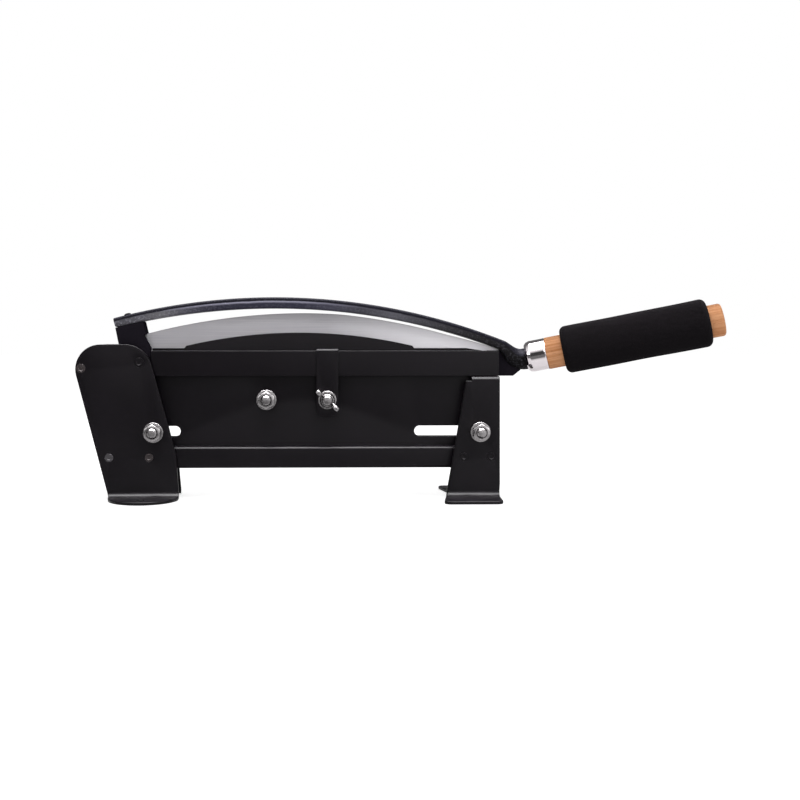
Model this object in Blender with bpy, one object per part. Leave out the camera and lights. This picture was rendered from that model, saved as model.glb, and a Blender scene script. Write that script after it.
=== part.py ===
"""Herb guillotine cutter: a long hinged knife that closes between two upright side plates.

Frame: the knife's pivot axis is modelled at X = 0 and the blade's middle plane at Y = 0, and the whole
cutter is then slid, so that the finished part has its origin under the middle of its overall size, on
the table. +X runs from the pivot to the handle, the front faces -Y, and +Z is up.
"""

import math

import bmesh
import bpy
import numpy as np
from mathutils import Matrix, Vector

MM = 0.001

# Fits
TOUCH_GAP = 0.3 * MM               # air between pieces that rest on each other
HOLE_PLAY = 0.35 * MM              # radial play of a hole round its bolt, pin or rivet
PIVOT_PLAY = 0.1 * MM              # radial play of the knife on its pivot pin
ROUND_STEPS = 18                   # sides of a round hole, pin or washer
BEND_STEPS = 4                     # flats across a sheet-metal bend
CORNER_STEPS = 5                   # flats round a rounded corner

# Layers on each side of the blade's middle plane
BLADE_THICKNESS = 2.0 * MM
BLADE_SLOT = 3.5 * MM
PLATE_THICKNESS = 2.0 * MM
RAIL_DEPTH = 8.5 * MM
RAIL_WALL = 1.5 * MM
RAIL_BEND = 0.8 * MM               # inner radius
LEG_SHEET = 2.5 * MM
LEG_BEND = 3.0 * MM                # inner radius

# Bed heights above the table
BED_BOTTOM = 26.8 * MM
LOWER_RAIL_HEIGHT = 17.6 * MM
WEB_OPENING = 60.1 * MM            # bare side plate between the two rails
UPPER_RAIL_HEIGHT = 21.5 * MM
SHOULDER_RISE = 2.2 * MM           # side plate above the upper rail
ARCH_RISE = 13.3 * MM              # crown of the side plate above its shoulders
ARCH_CHORD = 211.0 * MM
ARCH_CENTRE_X = 135.0 * MM

# Bed lengths, from the pivot axis
BED_LEFT = 31.0 * MM               # how far the bed reaches behind the pivot
BED_RIGHT = 306.3 * MM
HEEL_ROOM = 1.6 * MM               # air between the heel and the upper part of the bed
HEEL_BAY_DEPTH = 36.0 * MM         # open bay under the pivot that the opened knife swings into
HEEL_BAY_SLOPE = 16.0 * MM
TIP_ROOM = 2.5 * MM                # air between the tip block and the side plates
SHOULDER_FALL = 2.4 * MM           # rounded-off right end of the side plate's top
SHOULDER_FALL_LENGTH = 16.0 * MM

# Knife pivot and the pin that stops the opened knife
PIVOT_RISE = 11.7 * MM             # above the upper rail's underside
PIVOT_PIN_RADIUS = 4.0 * MM
PIVOT_WASHER_RADIUS = 8.6 * MM
STOP_PIN_X = -49.0 * MM
STOP_PIN_DROP = 5.0 * MM           # below the pivot
STOP_PIN_RADIUS = 2.6 * MM
PIN_PROUD = 0.25 * MM              # peened pin ends above the leg

# Left leg, seen from the front
LEFT_LEG_CROWN = 14.8 * MM         # top of the leg above the pivot
LEFT_LEG_TOP_LEFT_X = -59.0 * MM
LEFT_LEG_TOP_RIGHT_X = 5.5 * MM
LEFT_LEG_LEFT_RADIUS = 21.0 * MM
LEFT_LEG_RIGHT_RADIUS = 14.0 * MM
LEFT_LEG_KNEE_X = 31.2 * MM
LEFT_LEG_KNEE_HEIGHT = 37.8 * MM
LEFT_FOOT_LEFT_X = -24.5 * MM
LEFT_FOOT_RIGHT_X = 33.3 * MM
FOOT_HOLE_RADIUS = 3.25 * MM
FOOT_HOLE_REACH = 19.5 * MM        # from the leg's outer face

# Right leg, seen from the front
RIGHT_LEG_TOP_LEFT_X = 278.4 * MM
RIGHT_FOOT_LEFT_X = 261.1 * MM
RIGHT_LEG_RIGHT_X = 306.7 * MM
RIGHT_LEG_TOP_INSET = 4.0 * MM
REAR_LEG_INSETS = (2.6 * MM, 5.5 * MM)  # how much narrower the rear sheets are, left and right leg
RIGHT_LEG_CORNER = 2.0 * MM
FOOT_REACH = 30.0 * MM             # from either leg's outer face
FOOT_CORNER = 6.0 * MM

# Slots in the side plates and the hardware along the bed
SLOT_WIDTH = 9.0 * MM
SLOT_RISE = 12.4 * MM              # slot centre line above the lower rail
LEFT_SLOT_LENGTH = 52.0 * MM
LEFT_SLOT_END_X = 33.7 * MM
RIGHT_SLOT_LENGTH = 62.0 * MM
RIGHT_SLOT_START_X = 234.5 * MM
LEFT_BOLT_X = 12.1 * MM
RIGHT_BOLT_X = 289.8 * MM
CENTRE_BOLT_X = 107.6 * MM
STRAP_BOLT_X = 159.4 * MM
CENTRE_BOLT_RISE = 39.8 * MM       # above the lower rail
RIVET_RADIUS = 3.5 * MM
RIVET_PROUD = 0.2 * MM
LEFT_RIVETS_X = (-25.3 * MM, 8.4 * MM)
RIGHT_RIVETS_X = (275.9 * MM, 299.4 * MM)

# M8 hardware
BOLT_RADIUS = 4.0 * MM
BOLT_CHAMFER = 0.9 * MM
BOLT_PROUD = 3.0 * MM              # thread showing beyond a nut
ACROSS_FLATS = 13.0 * MM
HEAD_HEIGHT = 5.3 * MM
NUT_HEIGHT = 6.5 * MM
WASHER_RADIUS = 8.5 * MM
WASHER_THICKNESS = 1.6 * MM
SPACER_RADIUS = 7.0 * MM
WING_HUB_RADIUS = 6.4 * MM
WING_HUB_HEIGHT = 7.0 * MM
WING_SPAN = 24.4 * MM
WING_THICKNESS = 3.0 * MM
WING_HEIGHT = 10.5 * MM
WING_ANGLE = math.radians(-42.0)

# Strap that hooks over the upper rail
STRAP_WIDTH = 18.7 * MM
STRAP_THICKNESS = 1.5 * MM
STRAP_TAIL = 13.6 * MM             # below its bolt
STRAP_CORNER = 6.0 * MM
STRAP_LIFT = 4.0 * MM              # travel that its slot leaves on the bolt

# Arched bar of the knife
BAR_CROWN_X = 115.0 * MM
BAR_CROWN_RISE = 55.4 * MM         # top of the crown above the pivot
BAR_RADIUS = 537.0 * MM            # top edge
BAR_LEFT_X = -22.0 * MM
BAR_BEND_X = 309.5 * MM            # where the arch turns into the neck
BAR_WIDTH = 18.0 * MM
BAR_LEFT_THICKNESS = 7.6 * MM
BAR_CROWN_THICKNESS = 8.8 * MM
BAR_RIGHT_THICKNESS = 7.6 * MM
NECK_RADIUS = 8.3 * MM
NECK_EASE = 8.0 * MM               # how softly the arch turns into the neck
BAR_STEPS = 30
NECK_STEPS = 7

# Heel block that carries the knife on its pivot
HEEL_THICKNESS = 17.0 * MM
HEEL_RADIUS = 9.0 * MM
HEEL_LEFT_X = -20.6 * MM
HEEL_RIGHT_X = 0.9 * MM
HEEL_SHOULDER_X = 8.5 * MM
HEEL_SHOULDER_RISE = 12.7 * MM     # above the pivot
HEEL_WAIST_X = -17.8 * MM
HEEL_WAIST_RISE = 15.8 * MM
HEEL_RIVET_X = -10.7 * MM
HEEL_RIVET_RADIUS = 2.5 * MM
HEEL_RIVET_HEAD = 1.6 * MM
HEEL_RIVET_DEPTH = 6.0 * MM        # into the heel

# Blade
SPINE_GAP_HEEL = 11.8 * MM         # air between the blade's back and the bar
SPINE_GAP_MIDDLE = 2.8 * MM
SPINE_GAP_TIP = 0.6 * MM
SPINE_MIDDLE_X = 175.0 * MM
SPINE_CLOSING_X = 263.5 * MM
BLADE_LEFT_X = -11.0 * MM
BLADE_TIP_X = 308.0 * MM
EDGE_DROP = 10.2 * MM              # cutting edge at its ends, below the pivot
EDGE_BELLY = 4.0 * MM
BEVEL_HEIGHT = 5.0 * MM
EDGE_THICKNESS = 0.3 * MM
BLADE_STEPS = 36
BLADE_RIVET_RADIUS = 2.5 * MM
HEEL_RIVET_PLACES = ((-7.5 * MM, 11.7 * MM), (2.0 * MM, 13.7 * MM))  # from the pivot
TIP_RIVET_PLACES = ((-5.0 * MM, 6.8 * MM), (-5.0 * MM, 16.8 * MM))  # from the blade's tip and block's foot

# Tip block, which lands on the side plates' seat
TIP_BLOCK_HOLD = 10.5 * MM         # length of blade inside it
TIP_BLOCK_THICKNESS = 7.0 * MM
TIP_BLOCK_RIGHT_X = 318.3 * MM
TIP_BLOCK_CHAMFER = 7.5 * MM
TIP_BLOCK_HEIGHT = 22.0 * MM
BLADE_PLAY = 0.3 * MM              # each side of the blade in its blocks

# Handle, along its own axis from the ferrule's mouth
HANDLE_START_X = 331.8 * MM
HANDLE_START_RISE = 3.75 * MM      # above the pivot
HANDLE_TILT = math.radians(11.4)
HANDLE_YAW = math.radians(15.0)    # turned to the front, so that the hand clears the bed
HANDLE_SIDESTEP = 2.0 * MM         # how far forward the neck's end is
FERRULE_LENGTH = 17.7 * MM
FERRULE_MOUTH_RADIUS = 10.8 * MM
FERRULE_RADIUS = 13.5 * MM
FERRULE_WALL = 1.0 * MM
FERRULE_DOME = 4.5 * MM
WOOD_RADIUS = 13.7 * MM
WOOD_LENGTH = 164.4 * MM
WOOD_END_ROUND = 2.2 * MM
WOOD_START = 6.0 * MM
TANG_RADIUS = 4.5 * MM
TANG_LENGTH = 96.0 * MM
GRIP_START = 31.7 * MM
GRIP_LENGTH = 121.3 * MM
GRIP_RADIUS = 20.2 * MM
GRIP_END_ROUND = 5.0 * MM
NAIL_RADIUS = 0.9 * MM
NAIL_PLACE = 3.6 * MM              # along the handle
NAIL_LENGTH = 8.0 * MM
NAIL_ANGLE = math.radians(-43.0)
HANDLE_STEPS = 28

FRONT = -1
REAR = 1
SIDE_NAMES = {FRONT: "front", REAR: "rear"}

# Distances from the blade's middle plane, worked out from the layers
PLATE_INNER = BLADE_SLOT / 2
PLATE_OUTER = PLATE_INNER + PLATE_THICKNESS
RAIL_INNER = PLATE_OUTER + TOUCH_GAP
RAIL_OUTER = RAIL_INNER + RAIL_DEPTH
LEG_INNER = RAIL_OUTER + TOUCH_GAP
LEG_OUTER = LEG_INNER + LEG_SHEET

# Heights worked out from the bed, and the knife's from its pivot
LOWER_RAIL_TOP = BED_BOTTOM + LOWER_RAIL_HEIGHT
UPPER_RAIL_BOTTOM = LOWER_RAIL_TOP + WEB_OPENING
UPPER_RAIL_TOP = UPPER_RAIL_BOTTOM + UPPER_RAIL_HEIGHT
SLOT_HEIGHT = LOWER_RAIL_TOP + SLOT_RISE
CENTRE_BOLT_HEIGHT = LOWER_RAIL_TOP + CENTRE_BOLT_RISE
PIVOT_HEIGHT = UPPER_RAIL_BOTTOM + PIVOT_RISE
STOP_PIN_HEIGHT = PIVOT_HEIGHT - STOP_PIN_DROP
LEFT_LEG_HEIGHT = PIVOT_HEIGHT + LEFT_LEG_CROWN
BAR_CROWN_HEIGHT = PIVOT_HEIGHT + BAR_CROWN_RISE
EDGE_HEIGHT = PIVOT_HEIGHT - EDGE_DROP
SHOULDER_TOP = UPPER_RAIL_TOP + SHOULDER_RISE
RIGHT_LEG_TOP = UPPER_RAIL_BOTTOM - TOUCH_GAP
SEAT_HEIGHT = RIGHT_LEG_TOP - TOUCH_GAP
TIP_BLOCK_BOTTOM = SEAT_HEIGHT + TOUCH_GAP
RIVET_HEIGHT = BED_BOTTOM + LOWER_RAIL_HEIGHT / 2
UPPER_LEFT_X = HEEL_RADIUS + HEEL_ROOM
TIP_BLOCK_LEFT_X = BLADE_TIP_X - TIP_BLOCK_HOLD
TIP_BLOCK_TOP = TIP_BLOCK_BOTTOM + TIP_BLOCK_HEIGHT
PLATE_UPPER_RIGHT_X = TIP_BLOCK_LEFT_X - TIP_ROOM
HEEL_BLADE_RIVETS = [(x, PIVOT_HEIGHT + rise) for x, rise in HEEL_RIVET_PLACES]
TIP_BLADE_RIVETS = [(BLADE_TIP_X + back, TIP_BLOCK_BOTTOM + rise) for back, rise in TIP_RIVET_PLACES]

HANDLE_AXIS = Vector((
    math.cos(HANDLE_TILT) * math.cos(HANDLE_YAW),
    -math.cos(HANDLE_TILT) * math.sin(HANDLE_YAW),
    math.sin(HANDLE_TILT),
))
HANDLE_FRONT = Vector((-math.sin(HANDLE_YAW), -math.cos(HANDLE_YAW), 0.0))
HANDLE_UP = HANDLE_FRONT.cross(HANDLE_AXIS)
PIVOT = Vector((0.0, 0.0, PIVOT_HEIGHT))
HANDLE_START = PIVOT + Vector((HANDLE_START_X, -HANDLE_SIDESTEP, HANDLE_START_RISE))
STRAP_STUD = Vector((STRAP_BOLT_X, 0.0, CENTRE_BOLT_HEIGHT))

BOLT_SHAPE_ROUND = "round"
BOLT_SHAPE_HEX = "hex"


# Materials

def make_material(name, color, roughness, metallic):
    """Plain Principled material in the part's own colour."""
    material = bpy.data.materials.new(name)
    material.use_nodes = True
    shader = material.node_tree.nodes["Principled BSDF"]
    shader.inputs["Base Color"].default_value = (*color, 1.0)
    shader.inputs["Roughness"].default_value = roughness
    shader.inputs["Metallic"].default_value = metallic
    return material


FINISHES = {
    "black_paint": ((0.012, 0.011, 0.012), 0.45, 0.0),
    "blued_bar": ((0.035, 0.033, 0.045), 0.4, 0.6),
    "blade_steel": ((0.42, 0.41, 0.42), 0.35, 1.0),
    "zinc": ((0.45, 0.46, 0.46), 0.35, 1.0),
    "chrome": ((0.75, 0.72, 0.73), 0.12, 1.0),
    "wood": ((0.6, 0.31, 0.13), 0.5, 0.0),
    "foam": ((0.004, 0.004, 0.004), 0.95, 0.0),
}


# Mesh helpers

def finish_object(name, bm, finish, parent=None, smooth=False):
    """Make an object of a bmesh given in cutter coordinates, under its parent empty."""
    origin = parent["joint_point"] if parent else (0.0, 0.0, 0.0)
    bmesh.ops.translate(bm, verts=bm.verts, vec=-Vector(origin))
    bmesh.ops.recalc_face_normals(bm, faces=bm.faces)
    mesh = bpy.data.meshes.new(name)
    bm.to_mesh(mesh)
    bm.free()
    if smooth:
        mesh.shade_smooth()
        mesh.set_sharp_from_angle(angle=math.radians(35.0))
    mesh.materials.append(make_material(name, *FINISHES[finish]))
    thing = bpy.data.objects.new(name, mesh)
    bpy.context.scene.collection.objects.link(thing)
    thing.parent = parent if parent else FRAME
    return thing


def make_empty(name, point, parent):
    """Empty on a joint's axis; its pieces are modelled round it."""
    empty = bpy.data.objects.new(name, None)
    empty["joint_point"] = tuple(point)
    empty.location = point
    empty.parent = parent
    bpy.context.scene.collection.objects.link(empty)
    return empty


def merge(meshes):
    """Join several bmeshes into one, as separate solids of one node."""
    whole = bmesh.new()
    for part in meshes:
        scratch = bpy.data.meshes.new("scratch")
        part.to_mesh(scratch)
        part.free()
        whole.from_mesh(scratch)
        bpy.data.meshes.remove(scratch)
    return whole


def loft(rings, loop=False):
    """Skin rings of equal count; a loop joins the last ring to the first, else both ends are capped."""
    bm = bmesh.new()
    rows = [[bm.verts.new(point) for point in ring] for ring in rings]
    pairs = list(zip(rows, rows[1:]))
    if loop:
        pairs.append((rows[-1], rows[0]))
    for low, high in pairs:
        count = len(low)
        for i in range(count):
            j = (i + 1) % count
            bm.faces.new((low[i], low[j], high[j], high[i]))
    if not loop:
        bm.faces.new(rows[0])
        bm.faces.new(rows[-1])
    return bm


def ring_radius(radius, shape, angle):
    """Distance from the axis: a circle, or a hexagon given by half its width across flats."""
    if shape == BOLT_SHAPE_ROUND:
        return radius
    sector = math.radians(60.0)
    return radius / math.cos((angle % sector) - sector / 2)


def turned(profile, start, axis, steps=ROUND_STEPS, loop=False):
    """Turn (radius, height) or (radius, height, shape) stations round an axis."""
    axis = Vector(axis).normalized()
    side = axis.orthogonal() if abs(axis.y) < 0.9 else Vector((0.0, 0.0, 1.0))
    side = (side - axis * side.dot(axis)).normalized()
    across = axis.cross(side)
    rings = []
    for station in profile:
        radius, height = station[0], station[1]
        shape = station[2] if len(station) > 2 else BOLT_SHAPE_ROUND
        ring = []
        for i in range(steps):
            angle = 2 * math.pi * i / steps
            reach = ring_radius(radius, shape, angle)
            spoke = side * math.cos(angle) + across * math.sin(angle)
            ring.append(Vector(start) + axis * height + spoke * reach)
        rings.append(ring)
    return loft(rings, loop)


def rounded(corners):
    """Outline through (x, z, radius) corners, each rounded by its radius; 0 keeps it sharp."""
    points = []
    count = len(corners)
    for i, (x, z, radius) in enumerate(corners):
        here = Vector((x, z))
        if radius <= 0.0:
            points.append(here)
            continue
        to_last = (Vector(corners[i - 1][:2]) - here).normalized()
        to_next = (Vector(corners[(i + 1) % count][:2]) - here).normalized()
        half = to_last.angle(to_next) / 2
        centre = here + (to_last + to_next).normalized() * (radius / math.sin(half))
        start = here + to_last * (radius / math.tan(half)) - centre
        end = here + to_next * (radius / math.tan(half)) - centre
        sweep = start.angle_signed(end)
        for k in range(CORNER_STEPS + 1):
            points.append(centre + Matrix.Rotation(-sweep * k / CORNER_STEPS, 2) @ start)
    return points


def circle(x, z, radius, steps=ROUND_STEPS):
    """Closed round outline."""
    angles = [2 * math.pi * i / steps for i in range(steps)]
    return [Vector((x + radius * math.cos(a), z + radius * math.sin(a))) for a in angles]


def slot_outline(x_low, x_high, z, width):
    """Closed outline of a slot with half-round ends."""
    half = width / 2
    turn = ROUND_STEPS // 2
    angles = [math.pi * i / turn for i in range(turn + 1)]
    right = [Vector((x_high - half + half * math.sin(a), z - half * math.cos(a))) for a in angles]
    left = [Vector((x_low + half - half * math.sin(a), z + half * math.cos(a))) for a in angles]
    return right + left


def arch_points(x_start, x_end, z_foot, rise, steps):
    """Circular arc over a level chord, without its two feet."""
    half = (x_end - x_start) / 2
    radius = (half * half + rise * rise) / (2 * rise)
    middle = (x_start + x_end) / 2
    limit = math.asin(half / radius)
    angles = [limit * (2 * k / steps - 1) for k in range(1, steps)]
    return [(middle + radius * math.sin(a), z_foot + rise - radius * (1 - math.cos(a))) for a in angles]


class Fold:
    """A right-angled fold of a sheet along a level line, away from the flat middle of the sheet."""

    def __init__(self, line, up, outward, radius):
        self.line = line
        self.up = up
        self.outward = outward
        self.radius = radius

    def bend_length(self, thickness):
        """Flat length used up by the bend, along the middle of the sheet."""
        return (self.radius + thickness / 2) * math.pi / 2

    def flat_height(self, past_line):
        """Height in the flat sheet that lies this far past the fold line."""
        return self.line + past_line if self.up else self.line - past_line

    def place(self, height, depth, inner, outer):
        """Where a point of the flat sheet goes: its height and its distance from the blade plane."""
        past = height - self.line if self.up else self.line - height
        if past <= 0.0:
            return height, depth
        centre = outer + self.radius if self.outward else inner - self.radius
        reach = abs(depth - centre)
        middle = self.radius + (outer - inner) / 2
        angle = min(past / middle, math.pi / 2)
        rest = past - middle * angle
        side = -1.0 if self.outward else 1.0
        new_depth = centre + side * (reach * math.cos(angle) - rest)
        step = reach * math.sin(angle)
        return (self.line + step if self.up else self.line - step), new_depth


def sheet(outline, holes, inner, outer, side, folds=()):
    """Sheet metal cut to an outline in X and Z, between two depths, then folded."""
    bm = bmesh.new()
    for path in [outline, *holes]:
        verts = [bm.verts.new((point[0], inner, point[1])) for point in path]
        for a, b in zip(verts, verts[1:] + verts[:1]):
            bm.edges.new((a, b))
    bmesh.ops.remove_doubles(bm, verts=bm.verts, dist=0.01 * MM)
    bmesh.ops.triangle_fill(bm, use_beauty=True, edges=bm.edges[:], normal=(0.0, 1.0, 0.0))
    for fold in folds:
        for k in range(BEND_STEPS + 1):
            height = fold.flat_height(fold.bend_length(outer - inner) * k / BEND_STEPS)
            everything = bm.verts[:] + bm.edges[:] + bm.faces[:]
            bmesh.ops.bisect_plane(
                bm, geom=everything, plane_co=(0.0, 0.0, height), plane_no=(0.0, 0.0, 1.0))
    grown = bmesh.ops.extrude_face_region(bm, geom=bm.faces[:], use_keep_orig=True)
    moved = [item for item in grown["geom"] if isinstance(item, bmesh.types.BMVert)]
    bmesh.ops.translate(bm, verts=moved, vec=(0.0, outer - inner, 0.0))
    for vert in bm.verts:
        height, depth = vert.co.z, vert.co.y
        for fold in folds:
            height, depth = fold.place(height, depth, inner, outer)
        vert.co.z = height
        vert.co.y = side * depth
    return bm


def cutter(name, bm, parent=None):
    """Hidden guide that a Boolean reads; it isn't part of the object."""
    guide = finish_object(name, bm, "zinc", parent)
    guide.hide_render = True
    guide.display_type = "WIRE"
    return guide


def boolean(thing, guide, operation="DIFFERENCE"):
    """Cut a guide out of a piece, or join it on."""
    modifier = thing.modifiers.new(guide.name, "BOOLEAN")
    modifier.operation = operation
    modifier.solver = "EXACT"
    modifier.object = guide


def rod_along_y(x, z, radius, low, high):
    """Round rod across the cutter between two values of Y."""
    return turned([(radius, low), (radius, high)], (x, 0.0, z), (0.0, 1.0, 0.0))


def tube_along_y(x, z, radius, bore, low, high):
    """Round tube across the cutter between two values of Y."""
    profile = [(bore, low), (radius, low), (radius, high), (bore, high)]
    return turned(profile, (x, 0.0, z), (0.0, 1.0, 0.0), loop=True)


# Bed

def side_plate_outline():
    """Arched top, a seat for the tip block at the right and an open bay under the pivot at the left."""
    arch_left = ARCH_CENTRE_X - ARCH_CHORD / 2
    arch_right = ARCH_CENTRE_X + ARCH_CHORD / 2
    arch = [(x, z, 0.0) for x, z in arch_points(arch_left, arch_right, SHOULDER_TOP, ARCH_RISE, 18)]
    bay_floor = PIVOT_HEIGHT - HEEL_BAY_DEPTH
    small = 1.5 * MM
    corners = [
        (-BED_LEFT, BED_BOTTOM, small),
        (BED_RIGHT, BED_BOTTOM, small),
        (BED_RIGHT, SEAT_HEIGHT, small),
        (PLATE_UPPER_RIGHT_X, SEAT_HEIGHT, small),
        (PLATE_UPPER_RIGHT_X, SHOULDER_TOP - SHOULDER_FALL, small),
        (PLATE_UPPER_RIGHT_X - SHOULDER_FALL_LENGTH, SHOULDER_TOP, 0.0),
        (arch_right, SHOULDER_TOP, 0.0),
        *reversed(arch),
        (arch_left, SHOULDER_TOP, 0.0),
        (UPPER_LEFT_X, SHOULDER_TOP, small),
        (UPPER_LEFT_X, bay_floor + HEEL_BAY_SLOPE, small),
        (UPPER_LEFT_X - HEEL_BAY_SLOPE, bay_floor, small),
        (-BED_LEFT, bay_floor, 2 * small),
    ]
    return rounded(corners)


def bolt_hole(x, z):
    """Clearance hole for an M8 bolt."""
    return circle(x, z, BOLT_RADIUS + HOLE_PLAY)


def build_bed():
    """Two side plates, each stiffened by an upper and a lower channel rail."""
    slots = [
        slot_outline(LEFT_SLOT_END_X - LEFT_SLOT_LENGTH, LEFT_SLOT_END_X, SLOT_HEIGHT, SLOT_WIDTH),
        slot_outline(RIGHT_SLOT_START_X, RIGHT_SLOT_START_X + RIGHT_SLOT_LENGTH, SLOT_HEIGHT, SLOT_WIDTH),
    ]
    bolt_holes = [bolt_hole(x, CENTRE_BOLT_HEIGHT) for x in (CENTRE_BOLT_X, STRAP_BOLT_X)]
    rivets = LEFT_RIVETS_X + RIGHT_RIVETS_X
    rivet_holes = [circle(x, RIVET_HEIGHT, RIVET_RADIUS + HOLE_PLAY) for x in rivets]
    rods = [rod_along_y(x, RIVET_HEIGHT, RIVET_RADIUS + HOLE_PLAY, -LEG_OUTER, LEG_OUTER) for x in rivets]
    guide = cutter("guide_rivet_holes", merge(rods))
    for side, word in SIDE_NAMES.items():
        plate = sheet(side_plate_outline(), slots + bolt_holes + rivet_holes, PLATE_INNER, PLATE_OUTER, side)
        finish_object(f"{word}_side_plate", plate, "black_paint")
        upper = rail(UPPER_LEFT_X, BED_RIGHT, UPPER_RAIL_BOTTOM, UPPER_RAIL_TOP, side)
        finish_object(f"{word}_upper_rail", upper, "black_paint")
        lower = rail(-BED_LEFT, BED_RIGHT, BED_BOTTOM, LOWER_RAIL_TOP, side)
        boolean(finish_object(f"{word}_lower_rail", lower, "black_paint"), guide)


def rail(x_low, x_high, z_low, z_high, side):
    """Channel bent from sheet, its open side against the side plate."""
    wall = RAIL_WALL
    corner = RAIL_BEND + wall
    profile = rounded([
        (RAIL_INNER, z_low, 0.0),
        (RAIL_OUTER, z_low, corner),
        (RAIL_OUTER, z_high, corner),
        (RAIL_INNER, z_high, 0.0),
        (RAIL_INNER, z_high - wall, 0.0),
        (RAIL_OUTER - wall, z_high - wall, RAIL_BEND),
        (RAIL_OUTER - wall, z_low + wall, RAIL_BEND),
        (RAIL_INNER, z_low + wall, 0.0),
    ])
    return loft([[Vector((x, side * point.x, point.y)) for point in profile] for x in (x_low, x_high)])


# Legs

def foot_fold():
    """Fold that turns the bottom of a leg outwards into a foot."""
    return Fold(LEG_BEND + LEG_SHEET, False, True, LEG_BEND)


def foot_flat_height(reach):
    """Height in the flat leg of a point of the foot, this far from the leg's outer face."""
    fold = foot_fold()
    return fold.flat_height(fold.bend_length(LEG_SHEET) + reach - LEG_BEND)


def left_leg_outline(inset):
    """Leaning plate with round shoulders and a half-round foot, laid flat."""
    foot_right = LEFT_FOOT_RIGHT_X - inset
    foot_radius = (foot_right - LEFT_FOOT_LEFT_X) / 2
    foot_middle = (foot_right + LEFT_FOOT_LEFT_X) / 2
    foot_centre = foot_flat_height(FOOT_REACH) + foot_radius
    upper = [
        (foot_right, foot_centre, 0.0),
        (LEFT_LEG_KNEE_X - inset, LEFT_LEG_KNEE_HEIGHT, FOOT_CORNER),
        (LEFT_LEG_TOP_RIGHT_X, LEFT_LEG_HEIGHT, LEFT_LEG_RIGHT_RADIUS),
        (LEFT_LEG_TOP_LEFT_X, LEFT_LEG_HEIGHT, LEFT_LEG_LEFT_RADIUS),
        (LEFT_FOOT_LEFT_X, foot_centre, 0.0),
    ]
    steps = 16
    half_round = []
    for k in range(1, steps):
        angle = math.pi * k / steps
        x = foot_middle - foot_radius * math.cos(angle)
        half_round.append((x, foot_centre - foot_radius * math.sin(angle), 0.0))
    return rounded(upper + half_round)


def right_leg_outline(inset):
    """Tapered plate with a short flange at the top and a straight foot, laid flat."""
    top = right_leg_top_fold()
    foot_end = foot_flat_height(FOOT_REACH)
    lean = (RIGHT_LEG_TOP_LEFT_X - RIGHT_FOOT_LEFT_X) / RIGHT_LEG_TOP

    def left_edge(height):
        return RIGHT_FOOT_LEFT_X + inset + lean * height

    flange_end = top.flat_height(top.bend_length(LEG_SHEET) + LEG_INNER - LEG_BEND - PLATE_OUTER - TOUCH_GAP)
    flange_left = RIGHT_LEG_TOP_LEFT_X + inset + RIGHT_LEG_TOP_INSET
    flange_right = RIGHT_LEG_RIGHT_X - RIGHT_LEG_CORNER
    return rounded([
        (left_edge(foot_end), foot_end, FOOT_CORNER),
        (RIGHT_LEG_RIGHT_X, foot_end, FOOT_CORNER),
        (RIGHT_LEG_RIGHT_X, top.line - RIGHT_LEG_CORNER, 0.0),
        (flange_right, top.line, 0.0),
        (flange_right, flange_end, 0.0),
        (flange_left, flange_end, 0.0),
        (flange_left, top.line, 0.0),
        (left_edge(top.line - RIGHT_LEG_TOP_INSET), top.line - RIGHT_LEG_TOP_INSET, 0.0),
    ])


def right_leg_top_fold():
    """Fold that turns the top of the right leg in under the upper rail."""
    return Fold(RIGHT_LEG_TOP - LEG_BEND - LEG_SHEET, True, False, LEG_BEND)


def build_legs():
    """A front and a rear sheet at each end of the bed, riveted to the lower rails."""
    play = HOLE_PLAY
    foot_middle = (LEFT_FOOT_RIGHT_X + LEFT_FOOT_LEFT_X) / 2
    left_holes = [
        bolt_hole(LEFT_BOLT_X, SLOT_HEIGHT),
        circle(0.0, PIVOT_HEIGHT, PIVOT_PIN_RADIUS + play),
        circle(STOP_PIN_X, STOP_PIN_HEIGHT, STOP_PIN_RADIUS + play),
        circle(foot_middle, foot_flat_height(FOOT_HOLE_REACH), FOOT_HOLE_RADIUS),
        *[circle(x, RIVET_HEIGHT, RIVET_RADIUS + play) for x in LEFT_RIVETS_X],
    ]
    right_holes = [
        bolt_hole(RIGHT_BOLT_X, SLOT_HEIGHT),
        *[circle(x, RIVET_HEIGHT, RIVET_RADIUS + play) for x in RIGHT_RIVETS_X],
    ]
    for side, word in SIDE_NAMES.items():
        left_inset, right_inset = REAR_LEG_INSETS if side == REAR else (0.0, 0.0)
        left = sheet(left_leg_outline(left_inset), left_holes, LEG_INNER, LEG_OUTER, side, (foot_fold(),))
        finish_object(f"left_leg_{word}", left, "black_paint")
        folds = (foot_fold(), right_leg_top_fold())
        right = sheet(right_leg_outline(right_inset), right_holes, LEG_INNER, LEG_OUTER, side, folds)
        finish_object(f"right_leg_{word}", right, "black_paint")


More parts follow.
